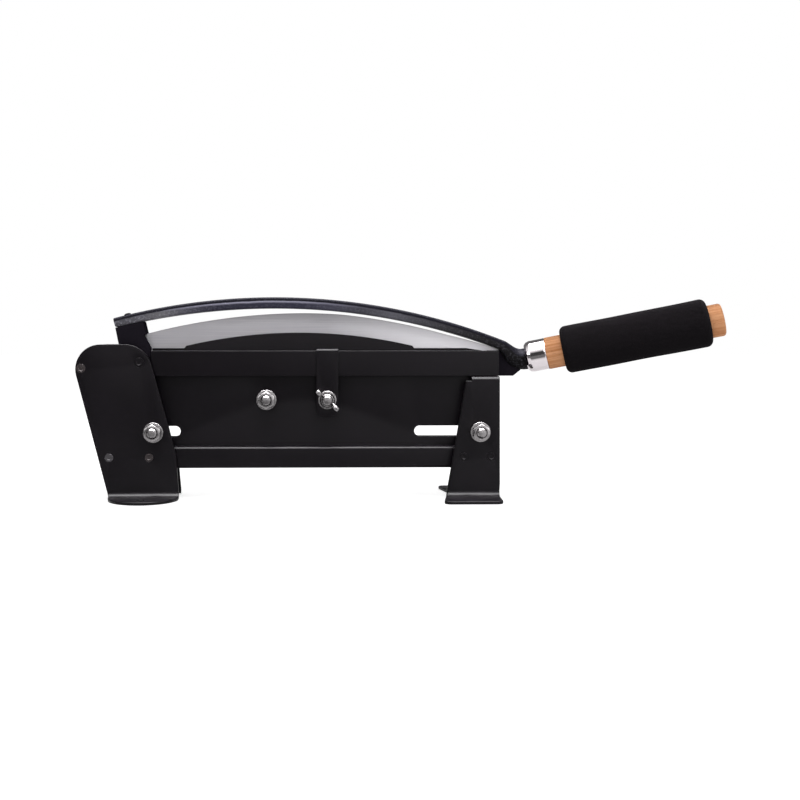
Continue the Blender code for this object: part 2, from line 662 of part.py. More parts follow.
def build_pins():
    """Pivot pin with its washers, stop pin, and the rivets through the legs, rails and side plates."""
    reach = LEG_OUTER + PIN_PROUD
    pivot = rod_along_y(0.0, PIVOT_HEIGHT, PIVOT_PIN_RADIUS, -reach, reach)
    finish_object("knife_pivot_pin", pivot, "black_paint", smooth=True)
    stop = rod_along_y(STOP_PIN_X, STOP_PIN_HEIGHT, STOP_PIN_RADIUS, -reach, reach)
    finish_object("open_stop_pin", stop, "black_paint", smooth=True)

    inner = HEEL_THICKNESS / 2 + TOUCH_GAP
    outer = LEG_INNER - TOUCH_GAP
    bore = PIVOT_PIN_RADIUS + HOLE_PLAY
    for side, word in SIDE_NAMES.items():
        ends = sorted((side * inner, side * outer))
        ring = tube_along_y(0.0, PIVOT_HEIGHT, PIVOT_WASHER_RADIUS, bore, *ends)
        finish_object(f"pivot_washer_{word}", ring, "zinc", smooth=True)

    head = LEG_OUTER + RIVET_PROUD
    for number, x in enumerate(LEFT_RIVETS_X + RIGHT_RIVETS_X, 1):
        rivet = rod_along_y(x, RIVET_HEIGHT, RIVET_RADIUS, -head, head)
        finish_object(f"leg_rivet_{number}", rivet, "black_paint", smooth=True)


# Hardware

def bolt(x, z, face, end):
    """Hexagon bolt: head behind the rear washer, thread out at the front."""
    seat = face + 2 * TOUCH_GAP + WASHER_THICKNESS
    flats = ACROSS_FLATS / 2
    profile = [
        (flats, seat + HEAD_HEIGHT, BOLT_SHAPE_HEX),
        (flats, seat, BOLT_SHAPE_HEX),
        (BOLT_RADIUS, seat),
        (BOLT_RADIUS, -end + BOLT_CHAMFER),
        (BOLT_RADIUS - BOLT_CHAMFER, -end),
    ]
    return turned(profile, (x, 0.0, z), (0.0, 1.0, 0.0))


def nut(x, z, face):
    """Hexagon nut in front of its washer."""
    low = -(face + 2 * TOUCH_GAP + WASHER_THICKNESS)
    high = low - NUT_HEIGHT
    bore = BOLT_RADIUS + HOLE_PLAY
    flats = ACROSS_FLATS / 2
    profile = [(flats, low, BOLT_SHAPE_HEX), (flats, high, BOLT_SHAPE_HEX), (bore, high), (bore, low)]
    return turned(profile, (x, 0.0, z), (0.0, 1.0, 0.0), loop=True)


def washer(x, z, face, side):
    """Washer lying on a face."""
    low = side * (face + TOUCH_GAP)
    high = side * (face + TOUCH_GAP + WASHER_THICKNESS)
    return tube_along_y(x, z, WASHER_RADIUS, BOLT_RADIUS + HOLE_PLAY, *sorted((low, high)))


def nut_end(face):
    """How far in front of the blade plane a bolt ends, past its nut."""
    return face + 2 * TOUCH_GAP + WASHER_THICKNESS + NUT_HEIGHT + BOLT_PROUD


def build_hardware():
    """Bolts, nuts, washers and spacers through the legs and through the middle of the bed."""
    strap_face = RAIL_OUTER + TOUCH_GAP + STRAP_THICKNESS
    stud_end = strap_face + 2 * TOUCH_GAP + WASHER_THICKNESS + WING_HUB_HEIGHT + BOLT_PROUD
    places = [
        ("left_leg", LEFT_BOLT_X, SLOT_HEIGHT, LEG_OUTER, LEG_OUTER, nut_end(LEG_OUTER)),
        ("right_leg", RIGHT_BOLT_X, SLOT_HEIGHT, LEG_OUTER, LEG_OUTER, nut_end(LEG_OUTER)),
        ("centre", CENTRE_BOLT_X, CENTRE_BOLT_HEIGHT, RAIL_OUTER, RAIL_OUTER, nut_end(RAIL_OUTER)),
        ("strap", STRAP_BOLT_X, CENTRE_BOLT_HEIGHT, RAIL_OUTER, strap_face, stud_end),
    ]
    bore = BOLT_RADIUS + HOLE_PLAY
    half = BLADE_SLOT / 2 - TOUCH_GAP
    for name, x, z, rear_face, front_face, end in places:
        finish_object(f"{name}_bolt", bolt(x, z, rear_face, end), "zinc", smooth=True)
        finish_object(f"{name}_washer_front", washer(x, z, front_face, FRONT), "zinc", smooth=True)
        finish_object(f"{name}_washer_rear", washer(x, z, rear_face, REAR), "zinc", smooth=True)
        ring = tube_along_y(x, z, SPACER_RADIUS, bore, -half, half)
        finish_object(f"{name}_slot_spacer", ring, "zinc", smooth=True)
        if name != "strap":
            finish_object(f"{name}_nut", nut(x, z, front_face), "zinc", smooth=True)
        if rear_face == RAIL_OUTER:
            for side, word in SIDE_NAMES.items():
                ends = sorted((side * RAIL_INNER, side * RAIL_OUTER))
                spacer = tube_along_y(x, z, SPACER_RADIUS, bore, *ends)
                finish_object(f"{name}_spacer_{word}", spacer, "zinc", smooth=True)


def build_strap():
    """Strap held by the wing nut; its lip hooks back over the upper rail and lifts off it."""
    empty = make_empty("strap_lift", STRAP_STUD, FRAME)
    half = STRAP_WIDTH / 2
    inner = RAIL_OUTER + TOUCH_GAP
    outer = inner + STRAP_THICKNESS
    hook = Fold(UPPER_RAIL_TOP - RAIL_BEND - RAIL_WALL, True, False, RAIL_BEND + RAIL_WALL + TOUCH_GAP)
    tip = hook.flat_height(hook.bend_length(STRAP_THICKNESS) + inner - hook.radius - PLATE_OUTER - TOUCH_GAP)
    low = CENTRE_BOLT_HEIGHT - STRAP_TAIL
    outline = rounded([
        (STRAP_BOLT_X - half, low, STRAP_CORNER),
        (STRAP_BOLT_X + half, low, STRAP_CORNER),
        (STRAP_BOLT_X + half, tip, 0.0),
        (STRAP_BOLT_X - half, tip, 0.0),
    ])
    hole = BOLT_RADIUS + HOLE_PLAY
    slot = [
        Vector((STRAP_BOLT_X + point.y, point.x))
        for point in slot_outline(
            CENTRE_BOLT_HEIGHT - STRAP_LIFT - hole, CENTRE_BOLT_HEIGHT + hole, 0.0, 2 * hole)
    ]
    strap = sheet(outline, [slot], inner, outer, FRONT, (hook,))
    finish_object("hold_down_strap", strap, "black_paint", empty)


def wing_outline(turn):
    """Ear of the wing nut in its own plane: distance from the axis, and height above the seat."""
    tip = WING_SPAN / 2
    root = BOLT_RADIUS + HOLE_PLAY + 0.6 * MM
    low = WING_HUB_HEIGHT * 0.15
    return [(turn * point[0], point[1]) for point in (
        (root, low),
        (WING_HUB_RADIUS + 1.5 * MM, low + 0.4 * MM),
        (tip - 1.2 * MM, WING_HEIGHT * 0.55),
        (tip, WING_HEIGHT * 0.72),
        (tip - 0.5 * MM, WING_HEIGHT * 0.93),
        (tip - 2.2 * MM, WING_HEIGHT),
        (tip - 4.0 * MM, WING_HEIGHT * 0.93),
        (root, WING_HUB_HEIGHT * 0.9),
    )]


def build_wing_nut():
    """Hub and two ears in one solid, turning on the strap's bolt."""
    empty = make_empty("wing_nut_turn", STRAP_STUD, FRAME)
    seat = RAIL_OUTER + STRAP_THICKNESS + WASHER_THICKNESS + 3 * TOUCH_GAP
    start = (STRAP_BOLT_X, -seat, CENTRE_BOLT_HEIGHT)
    bore = BOLT_RADIUS + HOLE_PLAY
    crown = WING_HUB_RADIUS - 1.2 * MM
    profile = [
        (WING_HUB_RADIUS, 0.0),
        (WING_HUB_RADIUS, WING_HUB_HEIGHT * 0.35),
        (crown, WING_HUB_HEIGHT),
        (bore, WING_HUB_HEIGHT),
        (bore, 0.0),
    ]
    hub = turned(profile, start, (0.0, -1.0, 0.0), loop=True)
    nut_object = finish_object("wing_nut", hub, "zinc", empty, smooth=True)

    along = Vector((math.cos(WING_ANGLE), 0.0, math.sin(WING_ANGLE)))
    across = Vector((-math.sin(WING_ANGLE), 0.0, math.cos(WING_ANGLE)))
    for turn, word in ((-1, "left"), (1, "right")):
        faces = []
        for offset in (-WING_THICKNESS / 2, WING_THICKNESS / 2):
            faces.append([
                Vector(start) + along * reach + across * offset + Vector((0.0, -height, 0.0))
                for reach, height in wing_outline(turn)
            ])
        ear = cutter(f"guide_wing_{word}", loft(faces), empty)
        boolean(nut_object, ear, "UNION")


# Knife

def bar_top(x):
    """Height of the arched bar's top edge."""
    offset = x - BAR_CROWN_X
    return BAR_CROWN_HEIGHT - BAR_RADIUS + math.sqrt(BAR_RADIUS ** 2 - offset ** 2)


def bar_thickness(x):
    """The bar is thickest at its crown and thins out towards both ends."""
    end_x, end = (BAR_LEFT_X, BAR_LEFT_THICKNESS) if x < BAR_CROWN_X else (BAR_BEND_X, BAR_RIGHT_THICKNESS)
    share = min(1.0, abs((x - BAR_CROWN_X) / (end_x - BAR_CROWN_X)))
    return BAR_CROWN_THICKNESS + (end - BAR_CROWN_THICKNESS) * share * share


def bar_slope(x):
    """Angle of the arch above the level at this X."""
    return -math.asin((x - BAR_CROWN_X) / BAR_RADIUS)


def bar_under(x):
    """Height of the arched bar's underside."""
    return bar_top(x) - bar_thickness(x) / math.cos(bar_slope(x))


def neck_path(share):
    """Point and direction on the smooth turn from the arch into the handle's axis."""
    slope = bar_slope(BAR_BEND_X)
    start = Vector((BAR_BEND_X, 0.0, (bar_top(BAR_BEND_X) + bar_under(BAR_BEND_X)) / 2))
    end = HANDLE_START
    lead = start + Vector((math.cos(slope), 0.0, math.sin(slope))) * NECK_EASE
    tail = end - HANDLE_AXIS * NECK_EASE
    rest = 1.0 - share
    point = start * rest ** 3 + lead * 3 * rest ** 2 * share
    point += tail * 3 * rest * share ** 2 + end * share ** 3
    way = (lead - start) * rest ** 2 + (tail - lead) * 2 * rest * share + (end - tail) * share ** 2
    return point, way.normalized()


def neck_section(share):
    """Half height, half width and squareness of the bar along the neck."""
    ease = share * share * (3 - 2 * share)
    half_height = BAR_RIGHT_THICKNESS / 2 + (NECK_RADIUS - BAR_RIGHT_THICKNESS / 2) * ease
    half_width = BAR_WIDTH / 2 + (NECK_RADIUS - BAR_WIDTH / 2) * ease
    return half_height, half_width, 8.0 + (2.0 - 8.0) * ease


def section(point, way, half_height, half_width, squareness):
    """Rounded-square ring across the bar; squareness 2 gives an ellipse."""
    side = Vector((-way.y, way.x, 0.0)).normalized()
    up = way.cross(side)
    power = 2.0 / squareness
    ring = []
    for i in range(ROUND_STEPS):
        angle = 2 * math.pi * (i + 0.5) / ROUND_STEPS
        across = math.copysign(abs(math.cos(angle)) ** power, math.cos(angle)) * half_width
        rise = math.copysign(abs(math.sin(angle)) ** power, math.sin(angle)) * half_height
        ring.append(point + side * across + up * rise)
    return ring


def bar_rings():
    """Rings along the arch, down the neck and along the tang inside the handle."""
    rings = []
    for x in np.linspace(BAR_LEFT_X, BAR_BEND_X, BAR_STEPS):
        slope = bar_slope(x)
        middle = Vector((x, 0.0, (bar_top(x) + bar_under(x)) / 2))
        way = Vector((math.cos(slope), 0.0, math.sin(slope)))
        rings.append(section(middle, way, bar_thickness(x) / 2, BAR_WIDTH / 2, 8.0))
    for share in np.linspace(0.0, 1.0, NECK_STEPS)[1:]:
        point, way = neck_path(share)
        rings.append(section(point, way, *neck_section(share)))
    stop = WOOD_START - TOUCH_GAP
    for place, radius in ((stop, NECK_RADIUS), (stop, TANG_RADIUS), (TANG_LENGTH, TANG_RADIUS)):
        rings.append(section(HANDLE_START + HANDLE_AXIS * place, HANDLE_AXIS, radius, radius, 2.0))
    return rings


def heel_rivet_axis():
    """Foot of the heel rivet on the bar's top, and its direction out of the bar."""
    slope = bar_slope(HEEL_RIVET_X)
    foot = Vector((HEEL_RIVET_X, 0.0, bar_top(HEEL_RIVET_X)))
    return foot, Vector((-math.sin(slope), 0.0, math.cos(slope)))


def build_bar(knife):
    """Arched bar, drawn out into the neck and tang, and the rivet that holds it to the heel."""
    bar = finish_object("arch_bar", loft(bar_rings()), "blued_bar", knife, smooth=True)
    foot, out = heel_rivet_axis()
    bottom = -(BAR_CROWN_THICKNESS + HEEL_RIVET_DEPTH)
    head = HEEL_RIVET_RADIUS + 0.5 * MM
    rivet = [
        (HEEL_RIVET_RADIUS, bottom),
        (HEEL_RIVET_RADIUS, TOUCH_GAP),
        (head, TOUCH_GAP),
        (head, HEEL_RIVET_HEAD * 0.7),
        (head * 0.7, HEEL_RIVET_HEAD),
    ]
    finish_object("heel_rivet", turned(rivet, foot, out), "blued_bar", knife, smooth=True)
    hole_radius = HEEL_RIVET_RADIUS + HOLE_PLAY
    hole = turned([(hole_radius, bottom - TOUCH_GAP), (hole_radius, HEEL_RIVET_HEAD)], foot, out)
    guide = cutter("guide_heel_rivet", hole, knife)
    boolean(bar, guide)
    return bar, guide


def block_hole(name, places, knife):
    """Guide for rivet holes through the blade and the block that holds it."""
    width = HEEL_THICKNESS
    rods = [rod_along_y(x, z, BLADE_RIVET_RADIUS + HOLE_PLAY, -width, width) for x, z in places]
    return cutter(name, merge(rods), knife)


def build_heel(knife, rivet_guide, blade_guide, hole_guide):
    """Block under the bar's left end, turning on the pivot pin and slotted for the blade."""
    top = [
        (x, bar_under(x) - TOUCH_GAP, 0.0)
        for x in np.linspace(HEEL_RIGHT_X, HEEL_LEFT_X, 5)
    ]
    lobe = []
    for k in range(13):
        angle = math.pi + math.pi * k / 12
        lobe.append((HEEL_RADIUS * math.cos(angle), PIVOT_HEIGHT + HEEL_RADIUS * math.sin(angle), 0.0))
    outline = rounded([*top, (HEEL_WAIST_X, PIVOT_HEIGHT + HEEL_WAIST_RISE, 0.0), *lobe,
                       (HEEL_SHOULDER_X, PIVOT_HEIGHT + HEEL_SHOULDER_RISE, 0.0)])
    half = HEEL_THICKNESS / 2
    holes = [circle(0.0, PIVOT_HEIGHT, PIVOT_PIN_RADIUS + PIVOT_PLAY)]
    heel = sheet(outline, holes, -half, half, REAR)
    block = finish_object("heel_block", heel, "black_paint", knife)
    for guide in (rivet_guide, blade_guide, hole_guide):
        boolean(block, guide)


def spine_gap(x):
    """Air between the blade's back and the bar: wide at the heel, narrow in the middle, shut at the tip."""
    if x < SPINE_MIDDLE_X:
        share = (SPINE_MIDDLE_X - x) / SPINE_MIDDLE_X
        return SPINE_GAP_MIDDLE + (SPINE_GAP_HEEL - SPINE_GAP_MIDDLE) * share ** 1.25
    if x < SPINE_CLOSING_X:
        return SPINE_GAP_MIDDLE
    share = min(1.0, (x - SPINE_CLOSING_X) / (BLADE_TIP_X - 8.0 * MM - SPINE_CLOSING_X))
    return SPINE_GAP_MIDDLE + (SPINE_GAP_TIP - SPINE_GAP_MIDDLE) * share


def spine_height(x):
    """Height of the blade's back."""
    return bar_under(x) - spine_gap(x)


def edge_height(x):
    """Height of the cutting edge: a shallow belly that curls up round the pivot at the left."""
    middle = BLADE_TIP_X / 2
    share = (x - middle) / middle
    belly = EDGE_HEIGHT - EDGE_BELLY * (1.0 - min(1.0, share * share))
    curl = max(0.0, -x)
    return belly + 1.3 * curl


def build_blade(knife):
    """Blade with a bevelled edge, as cross-sections set along its length."""
    half = BLADE_THICKNESS / 2
    tip = EDGE_THICKNESS / 2
    rings = []
    for x in np.linspace(BLADE_LEFT_X, BLADE_TIP_X, BLADE_STEPS):
        top = spine_height(x)
        edge = edge_height(x)
        bevel = edge + BEVEL_HEIGHT
        rings.append([
            Vector((x, -half, top)), Vector((x, half, top)), Vector((x, half, bevel)),
            Vector((x, tip, edge)), Vector((x, -tip, edge)), Vector((x, -half, bevel)),
        ])
    blade = finish_object("blade", loft(rings), "blade_steel", knife)
    pin = rod_along_y(0.0, PIVOT_HEIGHT, PIVOT_PIN_RADIUS + PIVOT_PLAY, -HEEL_THICKNESS, HEEL_THICKNESS)
    boolean(blade, cutter("guide_pivot_hole", pin, knife))
    return blade


def slot_guide(name, x_low, x_high, z_low, z_high, knife):
    """Guide for the slot that a block holds the blade in."""
    half = BLADE_THICKNESS / 2 + BLADE_PLAY
    low = [Vector((x_low, y, z_low)) for y in (-half, half)]
    low += [Vector((x_high, y, z_low)) for y in (half, -half)]
    high = [Vector((point.x, point.y, z_high)) for point in low]
    return cutter(name, loft([low, high]), knife)


def tip_block_outline():
    """Block under the neck: level foot, chamfered corner, and a top that follows the bar and neck."""
    under = []
    for share in np.linspace(1.0, 0.0, NECK_STEPS):
        point, way = neck_path(share)
        down = Vector((way.z, 0.0, -way.x))
        lower = point + down * (neck_section(share)[0] + TOUCH_GAP)
        if lower.x < HANDLE_START_X - 3.0 * MM and lower.z > TIP_BLOCK_BOTTOM + TIP_BLOCK_CHAMFER:
            under.append((lower.x, min(lower.z, TIP_BLOCK_TOP), 0.0))
    return rounded([
        (TIP_BLOCK_LEFT_X, TIP_BLOCK_BOTTOM, 0.0),
        (TIP_BLOCK_RIGHT_X, TIP_BLOCK_BOTTOM, 1.5 * MM),
        (TIP_BLOCK_RIGHT_X + TIP_BLOCK_CHAMFER, TIP_BLOCK_BOTTOM + 0.8 * TIP_BLOCK_CHAMFER, 0.0),
        *under,
        (TIP_BLOCK_LEFT_X, TIP_BLOCK_TOP, 0.0),
    ])


def build_tip_block(knife, hole_guide):
    """Block that ties the blade's tip to the neck and lands on the side plates."""
    half = TIP_BLOCK_THICKNESS / 2
    solid = sheet(tip_block_outline(), [], -half, half, REAR)
    block = finish_object("tip_block", solid, "black_paint", knife)
    end = BLADE_TIP_X + 2 * TOUCH_GAP
    slot = slot_guide("guide_tip_slot", TIP_BLOCK_LEFT_X - 5.0 * MM, end, 0.0, BAR_CROWN_HEIGHT, knife)
    boolean(block, slot)
    boolean(block, hole_guide)


def build_blade_rivets(knife):
    """Flush rivets through the heel and the tip block."""
    groups = [
        ("heel", HEEL_BLADE_RIVETS, HEEL_THICKNESS / 2),
        ("tip", TIP_BLADE_RIVETS, TIP_BLOCK_THICKNESS / 2),
    ]
    for word, places, reach in groups:
        for number, (x, z) in enumerate(places, 1):
            rivet = rod_along_y(x, z, BLADE_RIVET_RADIUS, -reach, reach)
            finish_object(f"blade_rivet_{word}_{number}", rivet, "blued_bar", knife, smooth=True)


def handle_profile_ferrule():
    """Thin cup with a domed front, open round the neck."""
    mouth = NECK_RADIUS + HOLE_PLAY
    outer = FERRULE_RADIUS
    wall = FERRULE_WALL
    return [
        (mouth, 0.0), (FERRULE_MOUTH_RADIUS, 0.0),
        (outer - 0.9 * MM, FERRULE_DOME * 0.4), (outer, FERRULE_DOME),
        (outer, FERRULE_LENGTH), (outer - wall, FERRULE_LENGTH), (outer - wall, FERRULE_DOME),
        (FERRULE_MOUTH_RADIUS - 0.3 * MM, wall), (mouth, wall),
    ]


def handle_profile_wood():
    """Turned handle with a spigot for the ferrule and a blind bore for the tang."""
    bore = TANG_RADIUS + HOLE_PLAY
    spigot = FERRULE_RADIUS - FERRULE_WALL - TOUCH_GAP
    shoulder = FERRULE_LENGTH + TOUCH_GAP
    profile = [
        (bore, TANG_LENGTH + 2.0 * MM), (bore, WOOD_START), (spigot - 1.0 * MM, WOOD_START),
        (spigot, WOOD_START + 1.0 * MM), (spigot, shoulder), (WOOD_RADIUS, shoulder),
    ]
    for k in range(5):
        angle = math.pi / 2 * k / 4
        profile.append((
            WOOD_RADIUS - WOOD_END_ROUND * (1 - math.cos(angle)),
            WOOD_LENGTH - WOOD_END_ROUND * (1 - math.sin(angle)),
        ))
    return profile


def handle_profile_grip():
    """Foam sleeve with soft round ends."""
    bore = WOOD_RADIUS + TOUCH_GAP
    end = GRIP_START + GRIP_LENGTH
    profile = [(bore, GRIP_START)]
    for k in range(5):
        angle = math.pi / 2 * k / 4
        profile.append((
            GRIP_RADIUS - GRIP_END_ROUND * (1 - math.sin(angle)),
            GRIP_START + GRIP_END_ROUND * (1 - math.cos(angle)),
        ))
    for k in range(5):
        angle = math.pi / 2 * k / 4
        profile.append((
            GRIP_RADIUS - GRIP_END_ROUND * (1 - math.cos(angle)),
            end - GRIP_END_ROUND * (1 - math.sin(angle)),
        ))
    profile.append((bore, end))
    return profile


def build_handle(knife, bar):
    """Ferrule, wooden handle and foam grip on the tang, and the nail that pins the ferrule to the neck."""
    parts = {}
    for name, profile, finish, loop in (
        ("ferrule", handle_profile_ferrule(), "chrome", True),
        ("wooden_handle", handle_profile_wood(), "wood", False),
        ("foam_grip", handle_profile_grip(), "foam", True),
    ):
        solid = turned(profile, HANDLE_START, HANDLE_AXIS, HANDLE_STEPS, loop)
        parts[name] = finish_object(name, solid, finish, knife, smooth=True)
    out = HANDLE_FRONT * math.cos(NAIL_ANGLE) + HANDLE_UP * math.sin(NAIL_ANGLE)
    root = HANDLE_START + HANDLE_AXIS * NAIL_PLACE + out * (FERRULE_RADIUS - NAIL_LENGTH)
    nail = turned([(NAIL_RADIUS, 0.0), (NAIL_RADIUS, NAIL_LENGTH + 0.4 * MM)], root, out, 12)
    finish_object("ferrule_nail", nail, "chrome", knife, smooth=True)
    hole_radius = NAIL_RADIUS + TOUCH_GAP
    hole = turned([(hole_radius, -TOUCH_GAP), (hole_radius, NAIL_LENGTH + 3.0 * MM)], root, out, 12)
    guide = cutter("guide_nail", hole, knife)
    boolean(parts["ferrule"], guide)
    boolean(bar, guide)


def build_knife():
    """Everything that swings up with the handle."""
    knife = make_empty("knife_swing", PIVOT, FRAME)
    bar, rivet_guide = build_bar(knife)
    blade = build_blade(knife)
    heel_holes = block_hole("guide_heel_holes", HEEL_BLADE_RIVETS, knife)
    tip_holes = block_hole("guide_tip_holes", TIP_BLADE_RIVETS, knife)
    for guide in (heel_holes, tip_holes):
        boolean(blade, guide)
    top = spine_height(HEEL_SHOULDER_X) + TOUCH_GAP
    heel_slot = slot_guide("guide_heel_slot", BLADE_LEFT_X - TOUCH_GAP, BED_RIGHT, 0.0, top, knife)
    build_heel(knife, rivet_guide, heel_slot, heel_holes)
    build_tip_block(knife, tip_holes)
    build_blade_rivets(knife)
    build_handle(knife, bar)


# Assembly

def centre_cutter():
    """Slide the whole cutter so that the origin is under the middle of its overall size."""
    bpy.context.view_layer.update()
    depsgraph = bpy.context.evaluated_depsgraph_get()
    points = []
    for thing in bpy.data.objects:
        if thing.type == "MESH" and not thing.hide_render:
            solid = thing.evaluated_get(depsgraph)
            points += [solid.matrix_world @ vert.co for vert in solid.data.vertices]
    spread = np.array(points)
    middle = (spread.min(axis=0) + spread.max(axis=0)) / 2
    FRAME.location = (-middle[0], -middle[1], 0.0)
    bpy.context.view_layer.update()


for old in list(bpy.data.objects):
    bpy.data.objects.remove(old, do_unlink=True)

FRAME = make_empty("cutter_frame", (0.0, 0.0, 0.0), None)
build_bed()
build_legs()
build_pins()
build_hardware()
build_strap()
build_wing_nut()
build_knife()
centre_cutter()
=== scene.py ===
"""Herb guillotine cutter: the finish of every surface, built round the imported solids.

Pieces are worked out in millimetres from the knife's pivot axis (X), the blade's middle plane (Y) and the
table (Z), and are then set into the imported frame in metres. +X runs to the handle and the front faces -Y.
"""

import logging
import math
from dataclasses import dataclass, field
from enum import Enum
from functools import partial
from typing import Callable, Sequence

import bmesh
import bpy
import numpy as np
from mathutils import Euler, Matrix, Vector
from mathutils.geometry import delaunay_2d_cdt


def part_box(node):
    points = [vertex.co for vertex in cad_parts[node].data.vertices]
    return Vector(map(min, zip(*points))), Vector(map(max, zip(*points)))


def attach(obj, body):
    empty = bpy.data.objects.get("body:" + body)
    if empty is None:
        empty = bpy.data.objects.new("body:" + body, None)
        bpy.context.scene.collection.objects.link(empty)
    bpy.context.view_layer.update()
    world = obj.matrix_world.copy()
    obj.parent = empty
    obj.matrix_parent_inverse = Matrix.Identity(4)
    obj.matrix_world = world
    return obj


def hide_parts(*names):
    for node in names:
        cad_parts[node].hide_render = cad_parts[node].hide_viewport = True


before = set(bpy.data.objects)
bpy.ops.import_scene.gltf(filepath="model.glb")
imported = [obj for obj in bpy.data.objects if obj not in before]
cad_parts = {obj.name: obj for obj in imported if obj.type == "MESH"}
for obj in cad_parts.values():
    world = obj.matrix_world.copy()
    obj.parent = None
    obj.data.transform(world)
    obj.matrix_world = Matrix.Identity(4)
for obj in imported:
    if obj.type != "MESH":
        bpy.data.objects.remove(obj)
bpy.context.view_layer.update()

Array = np.ndarray
Triple = tuple[float, float, float]

MM = 0.001
log = logging.getLogger("herb_cutter")


class Side(Enum):
    """The two sides of the blade's middle plane."""

    FRONT = -1.0
    REAR = 1.0

    @property
    def word(self) -> str:
        """The side's name, as the CAD nodes spell it."""
        return self.name.lower()


class Body(Enum):
    """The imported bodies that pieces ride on."""

    BED = "bed"
    KNIFE = "knife"
    STRAP = "strap"
    WING_NUT = "wing_nut_body"


# Sizes that several pieces share

@dataclass(frozen=True)
class Layers:
    """Layers of the cutter in millimetres: depths from the blade's plane, and heights above the table."""

    touch_gap: float = 0.3
    hole_play: float = 0.35
    blade_slot: float = 3.5
    plate: float = 2.0
    rail_depth: float = 8.5
    leg_sheet: float = 2.5
    strap_sheet: float = 1.5
    # Depths of the inner and outer faces of side plates, rails, legs and strap
    plate_inner: float = blade_slot / 2
    plate_outer: float = plate_inner + plate
    rail_inner: float = plate_outer + touch_gap
    rail_outer: float = rail_inner + rail_depth
    leg_inner: float = rail_outer + touch_gap
    leg_outer: float = leg_inner + leg_sheet
    strap_outer: float = leg_inner + strap_sheet
    # Heights of the rails' edges, then of the axes of the knife, the leg bolts, the middle bolts and the rivets
    bed_bottom: float = 26.0
    lower_rail_top: float = bed_bottom + 18.4
    upper_rail_bottom: float = lower_rail_top + 60.1
    upper_rail_top: float = upper_rail_bottom + 21.5
    pivot_height: float = upper_rail_bottom + 11.7
    slot_height: float = lower_rail_top + 12.4
    bolt_height: float = lower_rail_top + 39.8
    rivet_height: float = lower_rail_top - 8.8



LAYERS = Layers()
LEFT_BOLT_X = 12.1
RIGHT_BOLT_X = 289.8
CENTRE_BOLT_X = 107.6
STRAP_BOLT_X = 159.4
BOLT_RADIUS = 4.0
LEG_RIVETS_X = (-25.3, 8.4, 275.9, 299.4)
STOP_PIN = (-49.0, LAYERS.pivot_height - 5.0)
BOLT_BORE = BOLT_RADIUS + LAYERS.hole_play
PIVOT_RADIUS = 4.0
STOP_RADIUS = 2.6
RIVET_RADIUS = 3.5
HEEL_HALF = 8.5


# Curves and surfaces

def unit(vectors: Array) -> Array:
    """Vectors of length one; a zero vector stays zero.

    Args:
        vectors: Rows of vectors.

    Returns:
        Each row divided by its length.
    """
    length = np.linalg.norm(vectors, axis=-1, keepdims=True)
    return np.divide(vectors, length, out=np.zeros_like(vectors), where=length > 1e-12)


def rounded_path(corners: Sequence[Triple], steps: int = 8) -> Array:
    """Closed path whose corners are rounded.

    Each corner gives way to an arc that touches both its sides. The arc's centre lies on the bisector, at
    radius over the sine of half the corner's angle.

    Args:
        corners: (x, y, radius) of each corner, in order.
        steps: Chords of each arc.

    Returns:
        Points of the path, one row each.
    """
    table = np.array(corners, float)
    here, radius = table[:, :2], table[:, 2:]
    back = unit(np.roll(here, 1, 0) - here)
    ahead = unit(np.roll(here, -1, 0) - here)
    half = np.arccos(np.clip((back * ahead).sum(1, keepdims=True), -1.0, 1.0)) / 2
    half = np.maximum(half, 1e-3)
    centre = here + unit(back + ahead) * radius / np.sin(half)
    start = here + back * radius / np.tan(half) - centre
    end = here + ahead * radius / np.tan(half) - centre
    cross = start[:, :1] * end[:, 1:] - start[:, 1:] * end[:, :1]
    turn = np.arctan2(cross, (start * end).sum(1, keepdims=True)) * np.linspace(0.0, 1.0, steps + 1)
    x = start[:, :1] * np.cos(turn) - start[:, 1:] * np.sin(turn) + centre[:, :1]
    y = start[:, :1] * np.sin(turn) + start[:, 1:] * np.cos(turn) + centre[:, 1:]
    path = np.stack([x, y], axis=-1).reshape(-1, 2)
    keep = np.linalg.norm(path - np.roll(path, 1, 0), axis=1) > 1e-4
    return path[keep]


def full_turn(steps: int) -> Array:
    """Angles that part a full turn evenly."""
    return np.linspace(0.0, 2 * np.pi, steps, endpoint=False)


def round_hole(x: float, y: float, radius: float, steps: int = 48) -> Array:
    """Closed circle, x = centre + radius times cosine and y = centre + radius times sine.

    Args:
        x: First coordinate of the centre.
        y: Second coordinate of the centre.
        radius: Radius of the hole.
        steps: Number of points.

    Returns:
        Points of the circle.
    """
    angle = full_turn(steps)
    return np.stack([x + radius * np.cos(angle), y + radius * np.sin(angle)], axis=1)


def long_hole(x_low: float, x_high: float, y: float, width: float) -> Array:
    """Closed outline of a slot with half-round ends.

    Args:
        x_low: Left end.
        x_high: Right end.
        y: Middle line.
        width: Width across the slot.

    Returns:
        Points of the outline.
    """
    half = width / 2
    bend = half - 1e-3
    return rounded_path([
        (x_low, y - half, bend),
        (x_high, y - half, bend),
        (x_high, y + half, bend),
        (x_low, y + half, bend),
    ], 12)


def signed_area(path: Array) -> float:
    """Area of a closed path, above zero where it runs anticlockwise: half the sum of the cross products."""
    ahead = np.roll(path, -1, 0)
    return float((path[:, 0] * ahead[:, 1] - path[:, 1] * ahead[:, 0]).sum() / 2)


def wound(path: Array, anticlockwise: bool) -> Array:
    """The same closed path, run in the wanted sense."""
    return path if (signed_area(path) > 0) == anticlockwise else path[::-1]


